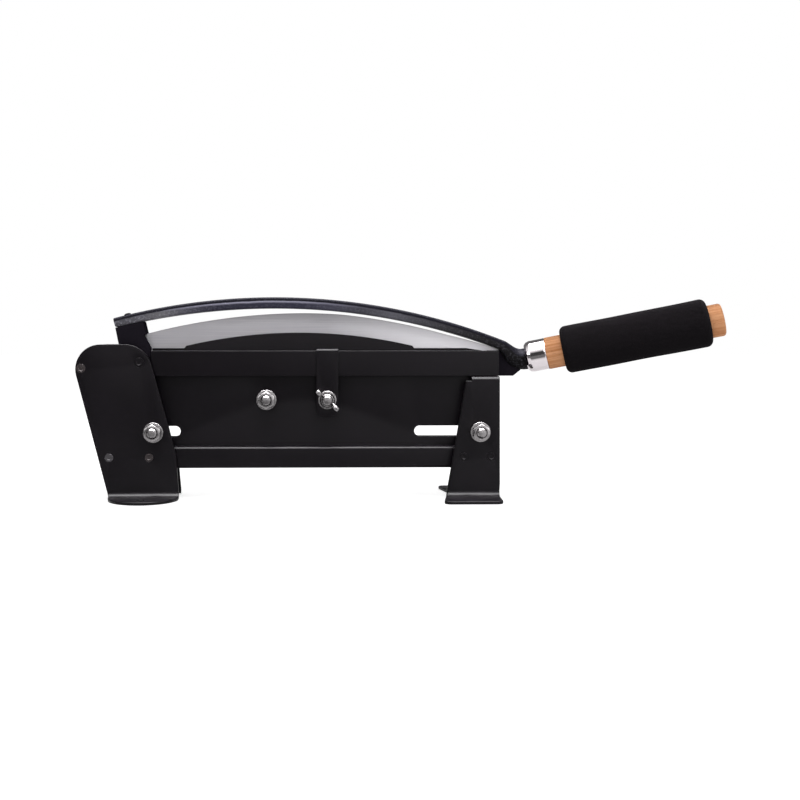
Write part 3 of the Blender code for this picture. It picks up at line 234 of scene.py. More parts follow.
def inset(path: Array, distance: float) -> Array:
    """Closed path moved to its left.

    Each point goes along the mitre of its two edges, (n1 + n2) / (1 + n1.n2), times the distance.

    Args:
        path: Points of the path.
        distance: How far to the left.

    Returns:
        Moved points.
    """
    edge = unit(np.roll(path, -1, 0) - path)
    normal = np.stack([-edge[:, 1], edge[:, 0]], axis=1)
    last = np.roll(normal, 1, 0)
    spread = np.maximum(1.0 + (normal * last).sum(1, keepdims=True), 0.4)
    return path + (normal + last) / spread * distance


def inside(points: Array, path: Array) -> Array:
    """Whether points lie in a closed path, by the number of edges that a ray to the right crosses.

    Args:
        points: Points to test.
        path: Points of the path.

    Returns:
        One truth value for each point.
    """
    a, b = path[None], np.roll(path, -1, 0)[None]
    p = points[:, None]
    straddles = (a[..., 1] > p[..., 1]) != (b[..., 1] > p[..., 1])
    rise = np.where(np.abs(b[..., 1] - a[..., 1]) < 1e-12, 1e-12, b[..., 1] - a[..., 1])
    reach = a[..., 0] + (p[..., 1] - a[..., 1]) / rise * (b[..., 0] - a[..., 0])
    return (straddles & (p[..., 0] < reach)).sum(1) % 2 == 1


@dataclass
class Surface:
    """A mesh being worked out: points in millimetres, arrays of faces of equal size, and marks of points."""

    points: Array
    faces: list[Array]
    marks: dict[str, Array] = field(default_factory=dict)

    @staticmethod
    def join(parts: Sequence["Surface"]) -> "Surface":
        """All parts as one surface, each still closed in itself.

        Args:
            parts: Surfaces to join.

        Returns:
            The joined surface.
        """
        starts = np.cumsum([0] + [len(part.points) for part in parts])
        faces = [face + start for part, start in zip(parts, starts) for face in part.faces]
        return Surface(np.vstack([part.points for part in parts]), faces)


def grid(points: Array, close_rows: bool = False, caps: bool = False) -> Surface:
    """Quads between neighbouring points of a grid whose columns run all round.

    Args:
        points: Array of rows, columns and coordinates.
        close_rows: Whether the last row joins the first.
        caps: Whether the first and last rows are filled in.

    Returns:
        The surface.
    """
    rows, columns = points.shape[:2]
    number = np.arange(rows * columns).reshape(rows, columns)
    if close_rows:
        number = np.vstack([number, number[:1]])
    number = np.hstack([number, number[:, :1]])
    quads = np.stack([number[:-1, :-1], number[:-1, 1:], number[1:, 1:], number[1:, :-1]], axis=-1)
    faces = [quads.reshape(-1, 4)]
    if caps:
        faces += [number[:1, -2::-1], number[-1:, :-1]]
    return Surface(points.reshape(-1, 3), faces)


@dataclass(frozen=True)
class Axis:
    """A line that round pieces are turned on."""

    start: Triple
    way: Triple

    def place(self, radius: Array, height: Array, angle: Array) -> Array:
        """Points round the axis: start + way times height + (side cosine + across sine) times radius.

        Args:
            radius: Distances from the axis, rows by columns.
            height: Distances along the axis, of the same shape.
            angle: Angles, of the same shape.

        Returns:
            Array of rows, columns and coordinates.
        """
        way = unit(np.array(self.way, float))
        up = np.array([0.0, 0.0, 1.0]) if abs(way[2]) < 0.9 else np.array([1.0, 0.0, 0.0])
        side = unit(up - way * (up @ way))
        across = np.cross(way, side)
        spoke = side * np.cos(angle)[..., None] + across * np.sin(angle)[..., None]
        return np.array(self.start) + way * height[..., None] + spoke * radius[..., None]


def across_bed(x: float, z: float, side: Side = Side.REAR) -> Axis:
    """The level axis across the bed through x and height z, pointing to one side."""
    return Axis((x, 0.0, z), (0.0, side.value, 0.0))


def turned(profile: Array, axis: Axis, steps: int = 96, ring: bool = False) -> Surface:
    """Round piece: a profile of (radius, height) carried round an axis.

    Args:
        profile: Radius and height of each station.
        axis: The axis of the turning.
        steps: Columns round the axis.
        ring: Whether the profile is closed, as on a washer. Otherwise it starts and ends on the axis.

    Returns:
        The surface.
    """
    angle = full_turn(steps)[None] + np.zeros((len(profile), 1))
    radius = profile[:, :1] + np.zeros_like(angle)
    height = profile[:, 1:] + np.zeros_like(angle)
    return grid(axis.place(radius, height, angle), close_rows=ring)


def open_profile(corners: Sequence[Triple], steps: int = 8) -> Array:
    """Rounded profile that starts and ends on the axis; its first and last corner stay as they are."""
    path = rounded_path([*corners, (-50.0, corners[-1][1], 0.0), (-50.0, corners[0][1], 0.0)], steps)
    return path[path[:, 0] > -1e-9]


@dataclass(frozen=True)
class Fold:
    """A right-angled fold of a sheet along a level line, away from the flat middle of the sheet."""

    line: float
    up: bool
    outward: bool
    radius: float
    steps: int = 12

    @property
    def way(self) -> float:
        """1 where the sheet is folded above the line, -1 where below it."""
        return 1.0 if self.up else -1.0

    def bend_length(self, thickness: float) -> float:
        """Flat length that the bend uses up, along the middle of the sheet."""
        return (self.radius + thickness / 2) * math.pi / 2

    def flat_height(self, past_line: float) -> float:
        """Height in the flat sheet that lies this far past the fold line."""
        return self.line + past_line * self.way

    def levels(self, thickness: float) -> list[float]:
        """Heights at which the flat sheet is cut so that it can bend."""
        shares = np.linspace(0.0, self.bend_length(thickness), self.steps + 1)
        return [self.flat_height(share) for share in shares]

    def bend(self, points: Array, inner: float, outer: float) -> Array:
        """Carry points of the flat sheet to their place on the folded one.

        Past the line a point turns round the bend's centre by the flat distance over the radius of the
        sheet's middle, up to a right angle, and then goes straight on.

        Args:
            points: Rows of x, depth and height.
            inner: Depth of the sheet's inner face.
            outer: Depth of the sheet's outer face.

        Returns:
            Moved points.
        """
        past = (points[:, 2] - self.line) * self.way
        centre = outer + self.radius if self.outward else inner - self.radius
        reach = np.abs(points[:, 1] - centre)
        middle = self.radius + (outer - inner) / 2
        angle = np.clip(past / middle, 0.0, math.pi / 2)
        rest = past - middle * angle
        side = -1.0 if self.outward else 1.0
        depth = centre + side * (reach * np.cos(angle) - rest)
        step = reach * np.sin(angle) * self.way
        bent = past > 0.0
        moved = points.copy()
        moved[:, 1] = np.where(bent, depth, points[:, 1])
        moved[:, 2] = np.where(bent, self.line + step, points[:, 2])
        return moved


@dataclass(frozen=True)
class Plate:
    """A flat piece cut to an outline, with eased edges, holes and folds."""

    outline: Array
    low: float
    high: float
    holes: tuple[Array, ...] = ()
    folds: tuple[Fold, ...] = ()
    edge: float = 0.35
    edge_steps: int = 4

    def loops(self) -> tuple[list[Array], list[float]]:
        """Outline and holes run so that the material is on their left, cut at the folds' levels.

        Returns:
            The loops, outline first, and the heights of the cuts.
        """
        levels = [level for fold in self.folds for level in fold.levels(self.high - self.low)]
        outline = wound(self.outline, True)
        for level in levels:
            ahead = np.roll(outline, -1, 0)
            at = np.nonzero((outline[:, 1] - level) * (ahead[:, 1] - level) < -1e-9)[0]
            share = (level - outline[at, 1]) / (ahead[at, 1] - outline[at, 1])
            outline = np.insert(outline, at + 1, outline[at] + (ahead[at] - outline[at]) * share[:, None], axis=0)
        return [outline, *[wound(hole, False) for hole in self.holes]], levels

    def surface(self) -> Surface:
        """The plate as x, depth and height.

        A quarter-round, inset = edge (1 - sine) and depth = edge (1 - cosine), is carried round every loop on
        both faces. The faces are filled with triangles between the innermost rings.

        Returns:
            The closed surface.
        """
        loops, levels = self.loops()
        angle = np.linspace(0.0, math.pi / 2, self.edge_steps + 1)
        sink = self.edge * (1.0 - np.sin(angle))
        rise = self.edge * (1.0 - np.cos(angle))
        insets = np.concatenate([sink, sink[::-1]])
        depths = np.concatenate([self.low + rise, self.high - rise[::-1]])
        rims, first, last, start = [], [], [], 0
        for loop in loops:
            rings = np.array([inset(loop, distance) for distance in insets])
            depth = depths[:, None] + np.zeros(len(loop))
            rims.append(grid(np.stack([rings[..., 0], depth, rings[..., 1]], axis=-1)))
            first.append(start + np.arange(len(loop)))
            last.append(start + (len(depths) - 1) * len(loop) + np.arange(len(loop)))
            start += len(depths) * len(loop)
        rim = Surface.join(rims)
        triangles = self.fill(rim.points[np.concatenate(first)][:, [0, 2]], loops, levels)
        rim.faces += [np.concatenate(first)[triangles], np.concatenate(last)[triangles[:, ::-1]]]
        points = rim.points
        for fold in self.folds:
            points = fold.bend(points, self.low, self.high)
        return Surface(points, rim.faces)

    @staticmethod
    def fill(flat: Array, loops: list[Array], levels: list[float]) -> Array:
        """Triangles between the loops, with an edge across the outline at each level of a fold.

        Args:
            flat: Points of all loops after the edge's inset.
            loops: The loops before the inset.
            levels: Heights of the cuts.

        Returns:
            Rows of three point numbers.
        """
        edges, start = [], 0
        for loop in loops:
            number = start + np.arange(len(loop))
            edges.append(np.stack([number, np.roll(number, -1)], axis=1))
            start += len(loop)
        for level in levels:
            at = np.nonzero(np.abs(loops[0][:, 1] - level) < 1e-6)[0]
            if len(at) > 1:
                x = loops[0][at, 0]
                edges.append(np.array([[at[x.argmin()], at[x.argmax()]]]))
        pairs = np.vstack(edges).tolist()
        filled = delaunay_2d_cdt([Vector(point) for point in flat.tolist()], pairs, [], 0, 1e-7, True)
        source = np.array([origin[0] if origin else -1 for origin in filled[3]])
        triangles = source[np.array([face for face in filled[2] if len(face) == 3])]
        triangles = triangles[(triangles >= 0).all(axis=1)]
        middle = flat[triangles].mean(axis=1)
        bounds = np.split(flat, np.cumsum([len(loop) for loop in loops])[:-1])
        keep = inside(middle, bounds[0])
        for hole in bounds[1:]:
            keep &= ~inside(middle, hole)
        return triangles[keep]


def on_side(surface: Surface, side: Side) -> Surface:
    """A sheet given by its depth from the blade's plane, on one side of it."""
    return Surface(surface.points * np.array([1.0, side.value, 1.0]), surface.faces)


def along_x(surface: Surface) -> Surface:
    """A section drawn in depth and height, and run along X: the plate's x, depth, height become Y, X, Z."""
    return Surface(surface.points[:, [1, 0, 2]], surface.faces)


# Materials

Socket = bpy.types.NodeSocket
Add = Callable[..., Socket]
Look = tuple[Socket, Socket, Socket]
Stops = tuple[tuple[float, str], ...]


def linear(code: str) -> tuple[float, float, float, float]:
    """Linear colour of an sRGB hex value such as "#C9A27A".

    Args:
        code: The hex value.

    Returns:
        Red, green, blue and alpha.
    """
    share = np.array([int(code[i:i + 2], 16) for i in (1, 3, 5)]) / 255.0
    value = np.where(share <= 0.04045, share / 12.92, ((share + 0.055) / 1.055) ** 2.4)
    return (float(value[0]), float(value[1]), float(value[2]), 1.0)


def add_node(tree: bpy.types.NodeTree, kind: str, settings: dict | None = None, links: dict | None = None,
             out: str | None = None) -> Socket | None:
    """Add one node.

    Args:
        tree: Node tree that gets the node.
        kind: Blender's name of the node, less its "ShaderNode".
        settings: Values by input name or number, or by the node's own property.
        links: Output sockets by input name or number.
        out: Name of the wanted output, or None for the first one in use.

    Returns:
        The output socket, or None where the node has none.
    """
    node = tree.nodes.new("ShaderNode" + kind)
    for name, value in (settings or {}).items():
        if isinstance(name, int) or name in node.inputs:
            node.inputs[name].default_value = value
        else:
            setattr(node, name, value)
    for name, socket in (links or {}).items():
        tree.links.new(socket, node.inputs[name])
    return node.outputs[out] if out else next((socket for socket in node.outputs if socket.enabled), None)


@dataclass(frozen=True)
class Finish:
    """A finish: its name, the record's slot, and the sockets that are the same all over."""

    name: str
    slot: str
    sockets: dict[str, float]

    def material(self) -> bpy.types.Material:
        """The Principled material, made once: this finish's constant sockets and its pattern.

        Returns:
            The material.
        """
        material = bpy.data.materials.get(self.name)
        if material is None:
            material = bpy.data.materials.new(self.name)
            material.use_nodes = True
            tree = material.node_tree
            shader = tree.nodes["Principled BSDF"]
            for socket, value in self.sockets.items():
                shader.inputs[socket].default_value = value
            look = self.pattern(partial(add_node, tree), add_node(tree, "TexCoord", out="Object"))
            for socket, source in zip(("Base Color", "Roughness", "Normal"), look):
                tree.links.new(source, shader.inputs[socket])
        return material

    def pattern(self, add: Add, place: Socket) -> Look:
        """The parts of the finish that vary over the surface.

        Args:
            add: Adds a node to the material.
            place: Object coordinates.

        Returns:
            Colour, roughness and normal.
        """
        raise NotImplementedError


@dataclass(frozen=True)
class BakedPaint(Finish):
    """Baked enamel on cold-rolled steel sheet: near black, satin, with a faint orange peel."""

    dark: str = "#0E0C0F"
    light: str = "#141115"
    patch: float = 45.0
    peel: float = 1.6

    def pattern(self, add: Add, place: Socket) -> Look:
        """Broad patches change the tone and gloss; the orange peel dents the surface by microns.

        Args:
            add: Adds a node to the material.
            place: Object coordinates.

        Returns:
            Colour, roughness and normal.
        """
        broad = add("TexNoise", {"Scale": 1 / (self.patch * MM), "Detail": 3.0}, {"Vector": place})
        peel = add("TexNoise", {"Scale": 1 / (self.peel * MM), "Detail": 1.0}, {"Vector": place})
        return (add("Mix", {"data_type": "RGBA", 6: linear(self.dark), 7: linear(self.light)}, {0: broad}),
                add("MapRange", {"To Min": 0.27, "To Max": 0.37}, {"Value": broad}),
                add("Bump", {"Strength": 0.35, "Distance": 0.03 * MM}, {"Height": peel}))


@dataclass(frozen=True)
class ForgedBar(Finish):
    """Forged bar under thin blue-grey lacquer, darker at both ends; its highlight on the upper arris and shade on
    top are painted.
    """

    # Tone along the bar: painted light and shade, lighter and darker where light fell along the length, darkening
    # into the neck
    face: Stops = (
        (0.0, "#4A494E"), (0.06, "#55545A"), (0.11, "#666569"), (0.17, "#4C4B54"), (0.24, "#302F3B"),
        (0.45, "#343340"), (0.53, "#454450"), (0.6, "#424148"), (0.67, "#58575E"), (0.74, "#454449"),
        (0.81, "#323134"), (0.9, "#201F21"), (1.0, "#0D0C0D"))
    # Painted highlight across the section: a bright line a little above the middle of the side faces
    arris: Stops = ((0.46, "#000000"), (0.56, "#C0C0C0"), (0.62, "#FFFFFF"), (0.7, "#000000"))
    # Strength of the painted highlight along the bar: strongest on the left half, gone towards the neck
    rubbed: Stops = (
        (0.1, "#000000"), (0.17, "#C8C8C8"), (0.3, "#FFFFFF"), (0.45, "#F0F0F0"), (0.54, "#A0A0A0"),
        (0.62, "#303030"), (0.7, "#000000"))
    # Colour of the painted shade on the bar's top face
    band: str = "#1D1C23"
    # Colour of the painted highlight on the arris
    bright: str = "#A3A1B4"
    speck: str = "#9E9CA8"
    hammer: float = 9.0
    scale: float = 1.3

    @staticmethod
    def ramp(add: Add, stops: Stops, share: Socket) -> Socket:
        """Colour ramp through stops.

        Args:
            add: Adds a node to the material.
            stops: Place and colour of each stop.
            share: What the ramp is read at.

        Returns:
            The ramp's colour.
        """
        colour = add("ValToRGB", {}, {"Fac": share})
        elements = colour.node.color_ramp.elements
        for place, code in stops[1:-1]:
            elements.new(place).color = linear(code)
        for element, (place, code) in zip((elements[0], elements[-1]), (stops[0], stops[-1])):
            element.position, element.color = place, linear(code)
        return colour

    def pattern(self, add: Add, place: Socket) -> Look:
        """Hammer marks dent it, forge scale speckles it, and the marks "level" and "along" place the specks, the
        painted highlight and the painted shade.

        Args:
            add: Adds a node to the material.
            place: Object coordinates.

        Returns:
            Colour, roughness and normal.
        """
        scale = add("TexNoise", {"Scale": 1 / (self.scale * MM), "Detail": 4.0}, {"Vector": place})
        marks = add("TexNoise", {"Scale": 1 / (self.hammer * MM), "Detail": 2.0}, {"Vector": place})
        along = add("Attribute", {"attribute_name": "along"}, out="Fac")
        wander = add("MapRange", {"To Min": -0.05, "To Max": 0.05}, {"Value": marks})
        level = add("Attribute", {"attribute_name": "level"}, out="Fac")
        level = add("Math", {"operation": "ADD"}, {0: level, 1: wander})
        # Painted shade over the top of the section, from level 0.6 to 0.68 upward
        cover = add("MapRange", {"From Min": 0.6, "From Max": 0.68}, {"Value": level})
        tone = add("Mix", {"data_type": "RGBA", 7: linear(self.band)},
                   {0: cover, 6: self.ramp(add, self.face, along)})
        # Painted highlight: a bright line along the arris, as strong as its place along the bar allows
        rub = add("Math", {"operation": "MULTIPLY"},
                  {0: self.ramp(add, self.arris, level), 1: self.ramp(add, self.rubbed, along)})
        tone = add("Mix", {"data_type": "RGBA", 7: linear(self.bright)}, {0: rub, 6: tone})
        less = add("MapRange", {"From Min": 0.1, "From Max": 0.25, "To Min": 0.5, "To Max": 0.1},
                   {"Value": along})
        low = add("MapRange", {"From Min": 0.55, "From Max": 0.65, "To Max": 0.0},
                  {"Value": level, "To Min": less})
        specks = add("MapRange", {"From Min": 0.5, "From Max": 0.7}, {"Value": scale, "To Max": low})
        deep = add("Bump", {"Strength": 0.4, "Distance": 0.2 * MM}, {"Height": marks})
        return (add("Mix", {"data_type": "RGBA", 7: linear(self.speck)}, {0: specks, 6: tone}),
                add("MapRange", {"To Min": 0.36, "To Max": 0.52}, {"Value": scale}),
                add("Bump", {"Strength": 0.3, "Distance": 0.04 * MM}, {"Height": scale, "Normal": deep}))


@dataclass(frozen=True)
class GroundSteel(Finish):
    """Carbon blade steel, belt-ground along its length: fine bright lines that run from heel to tip."""

    dark: str = "#98969A"
    light: str = "#A6A4A8"
    # Colour of the painted highlight that lightens the blade towards the tip
    polished: str = "#EDEBEF"
    line: float = 0.45
    run: float = 90.0

    def pattern(self, add: Add, place: Socket) -> Look:
        """Noise drawn out along X. Real lines are 0.05 mm wide; they are wider here so that they show.

        Args:
            add: Adds a node to the material.
            place: Object coordinates.

        Returns:
            Colour, roughness and normal.
        """
        size = (self.run * MM, self.line * MM, self.line * MM)
        drawn = add("Mapping", {"vector_type": "TEXTURE", "Scale": size}, {"Vector": place})
        lines = add("TexNoise", {"Scale": 1.0, "Detail": 3.0}, {"Vector": drawn})
        spread = add("MapRange", {"From Min": 0.3, "From Max": 0.7}, {"Value": lines})
        tone = add("Mix", {"data_type": "RGBA", 6: linear(self.dark), 7: linear(self.light)}, {0: spread})
        # Painted highlight: the blade is lightened along X towards the tip, up to 0.7 of the way to the glint
        # colour
        fresh = add("MapRange", {"From Min": -0.06, "From Max": 0.07, "To Max": 0.7},
                    {"Value": add("SeparateXYZ", {}, {0: place}, "X")})
        return (add("Mix", {"data_type": "RGBA", 7: linear(self.polished)}, {0: fresh, 6: tone}),
                add("MapRange", {"To Min": 0.42, "To Max": 0.52}, {"Value": lines}),
                add("Bump", {"Strength": 0.12, "Distance": 0.01 * MM}, {"Height": lines}))


@dataclass(frozen=True)
class PlatedSteel(Finish):
    """Plated steel: bright zinc on the fasteners, chrome on the ferrule. The plating follows small waves."""

    dark: str = "#757274"
    light: str = "#A6A3A4"
    wave: float = 2.5
    smooth: float = 0.18
    rough: float = 0.34
    depth: float = 0.03

    def pattern(self, add: Add, place: Socket) -> Look:
        """Small waves bend the reflections, and the plating is duller where it is thin.

        Args:
            add: Adds a node to the material.
            place: Object coordinates.

        Returns:
            Colour, roughness and normal.
        """
        waves = add("TexNoise", {"Scale": 1 / (self.wave * MM), "Detail": 2.0}, {"Vector": place})
        return (add("Mix", {"data_type": "RGBA", 6: linear(self.dark), 7: linear(self.light)}, {0: waves}),
                add("MapRange", {"To Min": self.smooth, "To Max": self.rough}, {"Value": waves}),
                add("Bump", {"Strength": 0.4, "Distance": self.depth * MM}, {"Height": waves}))


@dataclass(frozen=True)
class TurnedBeech(Finish):
    """Beech turned on a lathe, under a clear lacquer: orange-tan, with long pores and short dark flecks."""

    start: Triple = (0.0, 0.0, 0.0)
    turn: Triple = (0.0, 0.0, 0.0)
    pale: str = "#DBA57C"
    tan: str = "#B5774E"
    fleck: str = "#84502F"

    def pattern(self, add: Add, place: Socket) -> Look:
        """Growth bands, pores and flecks, each noise drawn out along the handle's own axis.

        Args:
            add: Adds a node to the material.
            place: Object coordinates.

        Returns:
            Colour, roughness and normal.
        """
        layers = []
        for size, detail in (((90.0, 5.0, 2.2), 4.0), ((14.0, 0.5, 0.5), 2.0), ((3.0, 0.7, 0.35), 1.0)):
            drawn = add("Mapping", {
                "vector_type": "TEXTURE", "Location": self.start, "Rotation": self.turn,
                "Scale": tuple(length * MM for length in size)}, {"Vector": place})
            layers.append(add("TexNoise", {"Scale": 1.0, "Detail": detail}, {"Vector": drawn}))
        bands, pores, flecks = layers
        tone = add("Mix", {"data_type": "RGBA", 6: linear(self.pale), 7: linear(self.tan)},
                   {0: add("MapRange", {"From Min": 0.3, "From Max": 0.7}, {"Value": bands})})
        for layer, low, high, most, code in ((pores, 0.56, 0.72, 0.5, self.tan),
                                             (flecks, 0.62, 0.75, 0.6, self.fleck)):
            share = add("MapRange", {"From Min": low, "From Max": high, "To Max": most}, {"Value": layer})
            tone = add("Mix", {"data_type": "RGBA", 7: linear(code)}, {0: share, 6: tone})
        return (tone,
                add("MapRange", {"To Min": 0.3, "To Max": 0.45}, {"Value": pores}),
                add("Bump", {"Strength": 0.2, "Distance": 0.05 * MM}, {"Height": pores}))


@dataclass(frozen=True)
class FoamRubber(Finish):
    """Closed-cell foam rubber, extruded and sanded: dead matt black with open pores half a millimetre wide."""

    dark: str = "#100E10"
    light: str = "#191719"
    pore: float = 0.7
    wear: float = 12.0

    def pattern(self, add: Add, place: Socket) -> Look:
        """Pores are the cells of a Voronoi pattern; a slow noise varies how far they were sanded.

        Args:
            add: Adds a node to the material.
            place: Object coordinates.

        Returns:
            Colour, roughness and normal.
        """
        cells = add("TexVoronoi", {"Scale": 1 / (self.pore * MM)}, {"Vector": place})
        slow = add("TexNoise", {"Scale": 1 / (self.wear * MM), "Detail": 3.0}, {"Vector": place})
        broad = add("Bump", {"Strength": 0.3, "Distance": 0.3 * MM}, {"Height": slow})
        return (add("Mix", {"data_type": "RGBA", 6: linear(self.dark), 7: linear(self.light)}, {0: cells}),
                add("MapRange", {"To Min": 0.78, "To Max": 0.95}, {"Value": slow}),
                add("Bump", {"Strength": 0.6, "Distance": 0.12 * MM}, {"Height": cells, "Normal": broad}))


BLACK_PAINT = BakedPaint("satin_black_baked_enamel", "black_paint", {"Specular IOR Level": 0.11})
THIN_PAINT = BakedPaint("thin_enamel_on_peened_steel", "black_paint", {"Specular IOR Level": 0.4},
                        "#2B292C", "#49464A")
WORN_PAINT = BakedPaint("worn_enamel_on_peened_steel", "black_paint",
                        {"Metallic": 0.2, "Specular IOR Level": 0.3}, "#252122", "#423B3C", 3.0)
FORGE_SCALE = BakedPaint("black_forge_scale", "black_paint", {"Specular IOR Level": 0.0}, "#17151A", "#201D23")
BAR_LACQUER = ForgedBar("blue_grey_lacquer_on_forged_steel", "blued_bar", {"Specular IOR Level": 0.04})
BLADE_STEEL = GroundSteel("belt_ground_carbon_steel", "blade_steel", {"Metallic": 1.0})
ZINC = PlatedSteel("bright_zinc_plated_steel", "zinc", {"Metallic": 1.0})
CHROME = PlatedSteel("chrome_plated_steel_tube", "chrome", {"Metallic": 1.0}, dark="#D8D0D4", light="#F0EAEC",
                     wave=9.0, smooth=0.05, rough=0.11, depth=0.02)
FOAM = FoamRubber("sanded_black_foam_rubber", "foam", {"Specular IOR Level": 0.02})


# Putting pieces into the frame

def pivot_origin() -> Array:
    """Where the pieces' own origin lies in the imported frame, in metres: the pivot pin's middle, on the table.

    Returns:
        The point.
    """
    low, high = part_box("knife_pivot_pin")
    middle = (low + high) / 2
    return np.array([middle.x, middle.y, 0.0])


ORIGIN = pivot_origin()


def make_piece(name: str, node: str, surface: Surface, finish: Finish, body: Body = Body.BED,
               crease: float = 32.0) -> bpy.types.Object:
    """Make one object of a surface and hang it on its body.

    Args:
        name: Name of the piece.
        node: CAD node that it replaces.
        surface: Its surface in millimetres.
        finish: Its finish.
        body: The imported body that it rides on.
        crease: Angle in degrees from which an edge is shown sharp.

    Returns:
        The object.
    """
    mesh = bpy.data.meshes.new(name)
    faces = [face for block in surface.faces for face in block.tolist()]
    mesh.from_pydata((surface.points * MM + ORIGIN).tolist(), [], faces)
    for mark, values in surface.marks.items():
        mesh.attributes.new(mark, "FLOAT", "POINT").data.foreach_set("value", values)
    bm = bmesh.new()
    bm.from_mesh(mesh)
    bmesh.ops.remove_doubles(bm, verts=bm.verts, dist=0.002 * MM)
    bmesh.ops.recalc_face_normals(bm, faces=bm.faces)
    bm.to_mesh(mesh)
    bm.free()
    mesh.shade_smooth()
    mesh.set_sharp_from_angle(angle=math.radians(crease))
    mesh.materials.append(finish.material())
    piece = bpy.data.objects.new(name, mesh)
    bpy.context.scene.collection.objects.link(piece)
    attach(piece, body.value)
    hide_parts(node)
    log.info("%s: %d faces on %s", name, len(mesh.polygons), body.value)
    return piece


# Bed

@dataclass(frozen=True)
class Bed:
    """Two side plates, each with an upper and a lower rail bent from sheet."""

    left: float = -31.0
    right: float = 306.3
    upper_left: float = 9.6
    shoulder_rise: float = 2.2
    arch_rise: float = 13.3
    arch_radius: float = 425.0
    arch_chord: float = 194.5
    arch_centre: float = 135.6
    bay_depth: float = 36.0
    bay_slope: float = 16.0
    seat_left: float = 295.0
    shoulder_fall: float = 2.4
    fall_length: float = 16.0
    slot_width: float = 9.0
    left_slot: tuple[float, float] = (-18.3, 33.7)
    right_slot: tuple[float, float] = (234.5, 296.5)
    rail_wall: float = 1.5
    upper_corner: float = 0.4
    lower_corner: float = 2.6

    def plate_outline(self) -> Array:
        """Outline of a side plate; its arch is part of a circle that meets the shoulders at a small step.

        Returns:
            Points of the outline.
        """
        shoulder = LAYERS.upper_rail_top + self.shoulder_rise
        half, radius = self.arch_chord / 2, self.arch_radius
        angle = np.linspace(1.0, -1.0, 49) * math.asin(half / radius)
        arch_x = self.arch_centre + radius * np.sin(angle)
        arch_z = shoulder + self.arch_rise - radius * (1 - np.cos(angle))
        floor = LAYERS.pivot_height - self.bay_depth
        seat = LAYERS.upper_rail_bottom - 2 * LAYERS.touch_gap
        return rounded_path([
            (self.left, LAYERS.bed_bottom, 1.5),
            (self.right, LAYERS.bed_bottom, 1.5),
            (self.right, seat, 1.5),
            (self.seat_left, seat, 1.5),
            (self.seat_left, shoulder - self.shoulder_fall, 1.5),
            (self.seat_left - self.fall_length, shoulder, 12.0),
            (self.arch_centre + half + 1.5, shoulder, 0.0),
            *zip(arch_x, arch_z, np.zeros(49)),
            (self.arch_centre - half - 1.5, shoulder, 0.0),
            (self.upper_left, shoulder, 0.4),
            (self.upper_left, floor + self.bay_slope, 1.5),
            (self.upper_left - self.bay_slope, floor, 1.5),
            (self.left, floor, 3.0),
        ])

    def plate(self) -> Surface:
        """One side plate with its slots, bolt holes and rivet holes.

        Returns:
            The closed surface.
        """
        play = LAYERS.hole_play
        holes = (
            *[long_hole(*slot, LAYERS.slot_height, self.slot_width) for slot in (self.left_slot, self.right_slot)],
            *[round_hole(x, LAYERS.bolt_height, BOLT_BORE) for x in (CENTRE_BOLT_X, STRAP_BOLT_X)],
            *[round_hole(x, LAYERS.rivet_height, RIVET_RADIUS + play) for x in LEG_RIVETS_X],
        )
        return Plate(self.plate_outline(), LAYERS.plate_inner, LAYERS.plate_outer, holes).surface()

    def rail(self, left: float, low: float, high: float, corner: float) -> Surface:
        """One channel, its section run from left to right.

        Args:
            left: X of the left end.
            low: Height of the underside.
            high: Height of the top.
            corner: Radius of the outer corners.

        Returns:
            The closed surface.
        """
        wall, bend = self.rail_wall, max(0.2, corner - self.rail_wall)
        inner, outer = LAYERS.rail_inner, LAYERS.rail_outer
        section = rounded_path([
            (inner, low, 0.2),
            (outer, low, corner),
            (outer, high, corner),
            (inner, high, 0.2),
            (inner, high - wall, 0.2),
            (outer - wall, high - wall, bend),
            (outer - wall, low + wall, bend),
            (inner, low + wall, 0.2),
        ], 10)
        return along_x(Plate(section, left, self.right, edge=0.2, edge_steps=2).surface())

    def build(self) -> None:
        """Make the plates and rails of both sides."""
        upper = self.rail(self.upper_left, LAYERS.upper_rail_bottom, LAYERS.upper_rail_top, self.upper_corner)
        lower = self.rail(self.left, LAYERS.bed_bottom, LAYERS.lower_rail_top, self.lower_corner)
        pieces = (("side_plate_sheet", "side_plate", self.plate()), ("upper_channel", "upper_rail", upper),
                  ("lower_channel", "lower_rail", lower))
        for side in Side:
            for name, node, surface in pieces:
                make_piece(f"{side.word}_{name}", f"{side.word}_{node}", on_side(surface, side), BLACK_PAINT)


# Legs

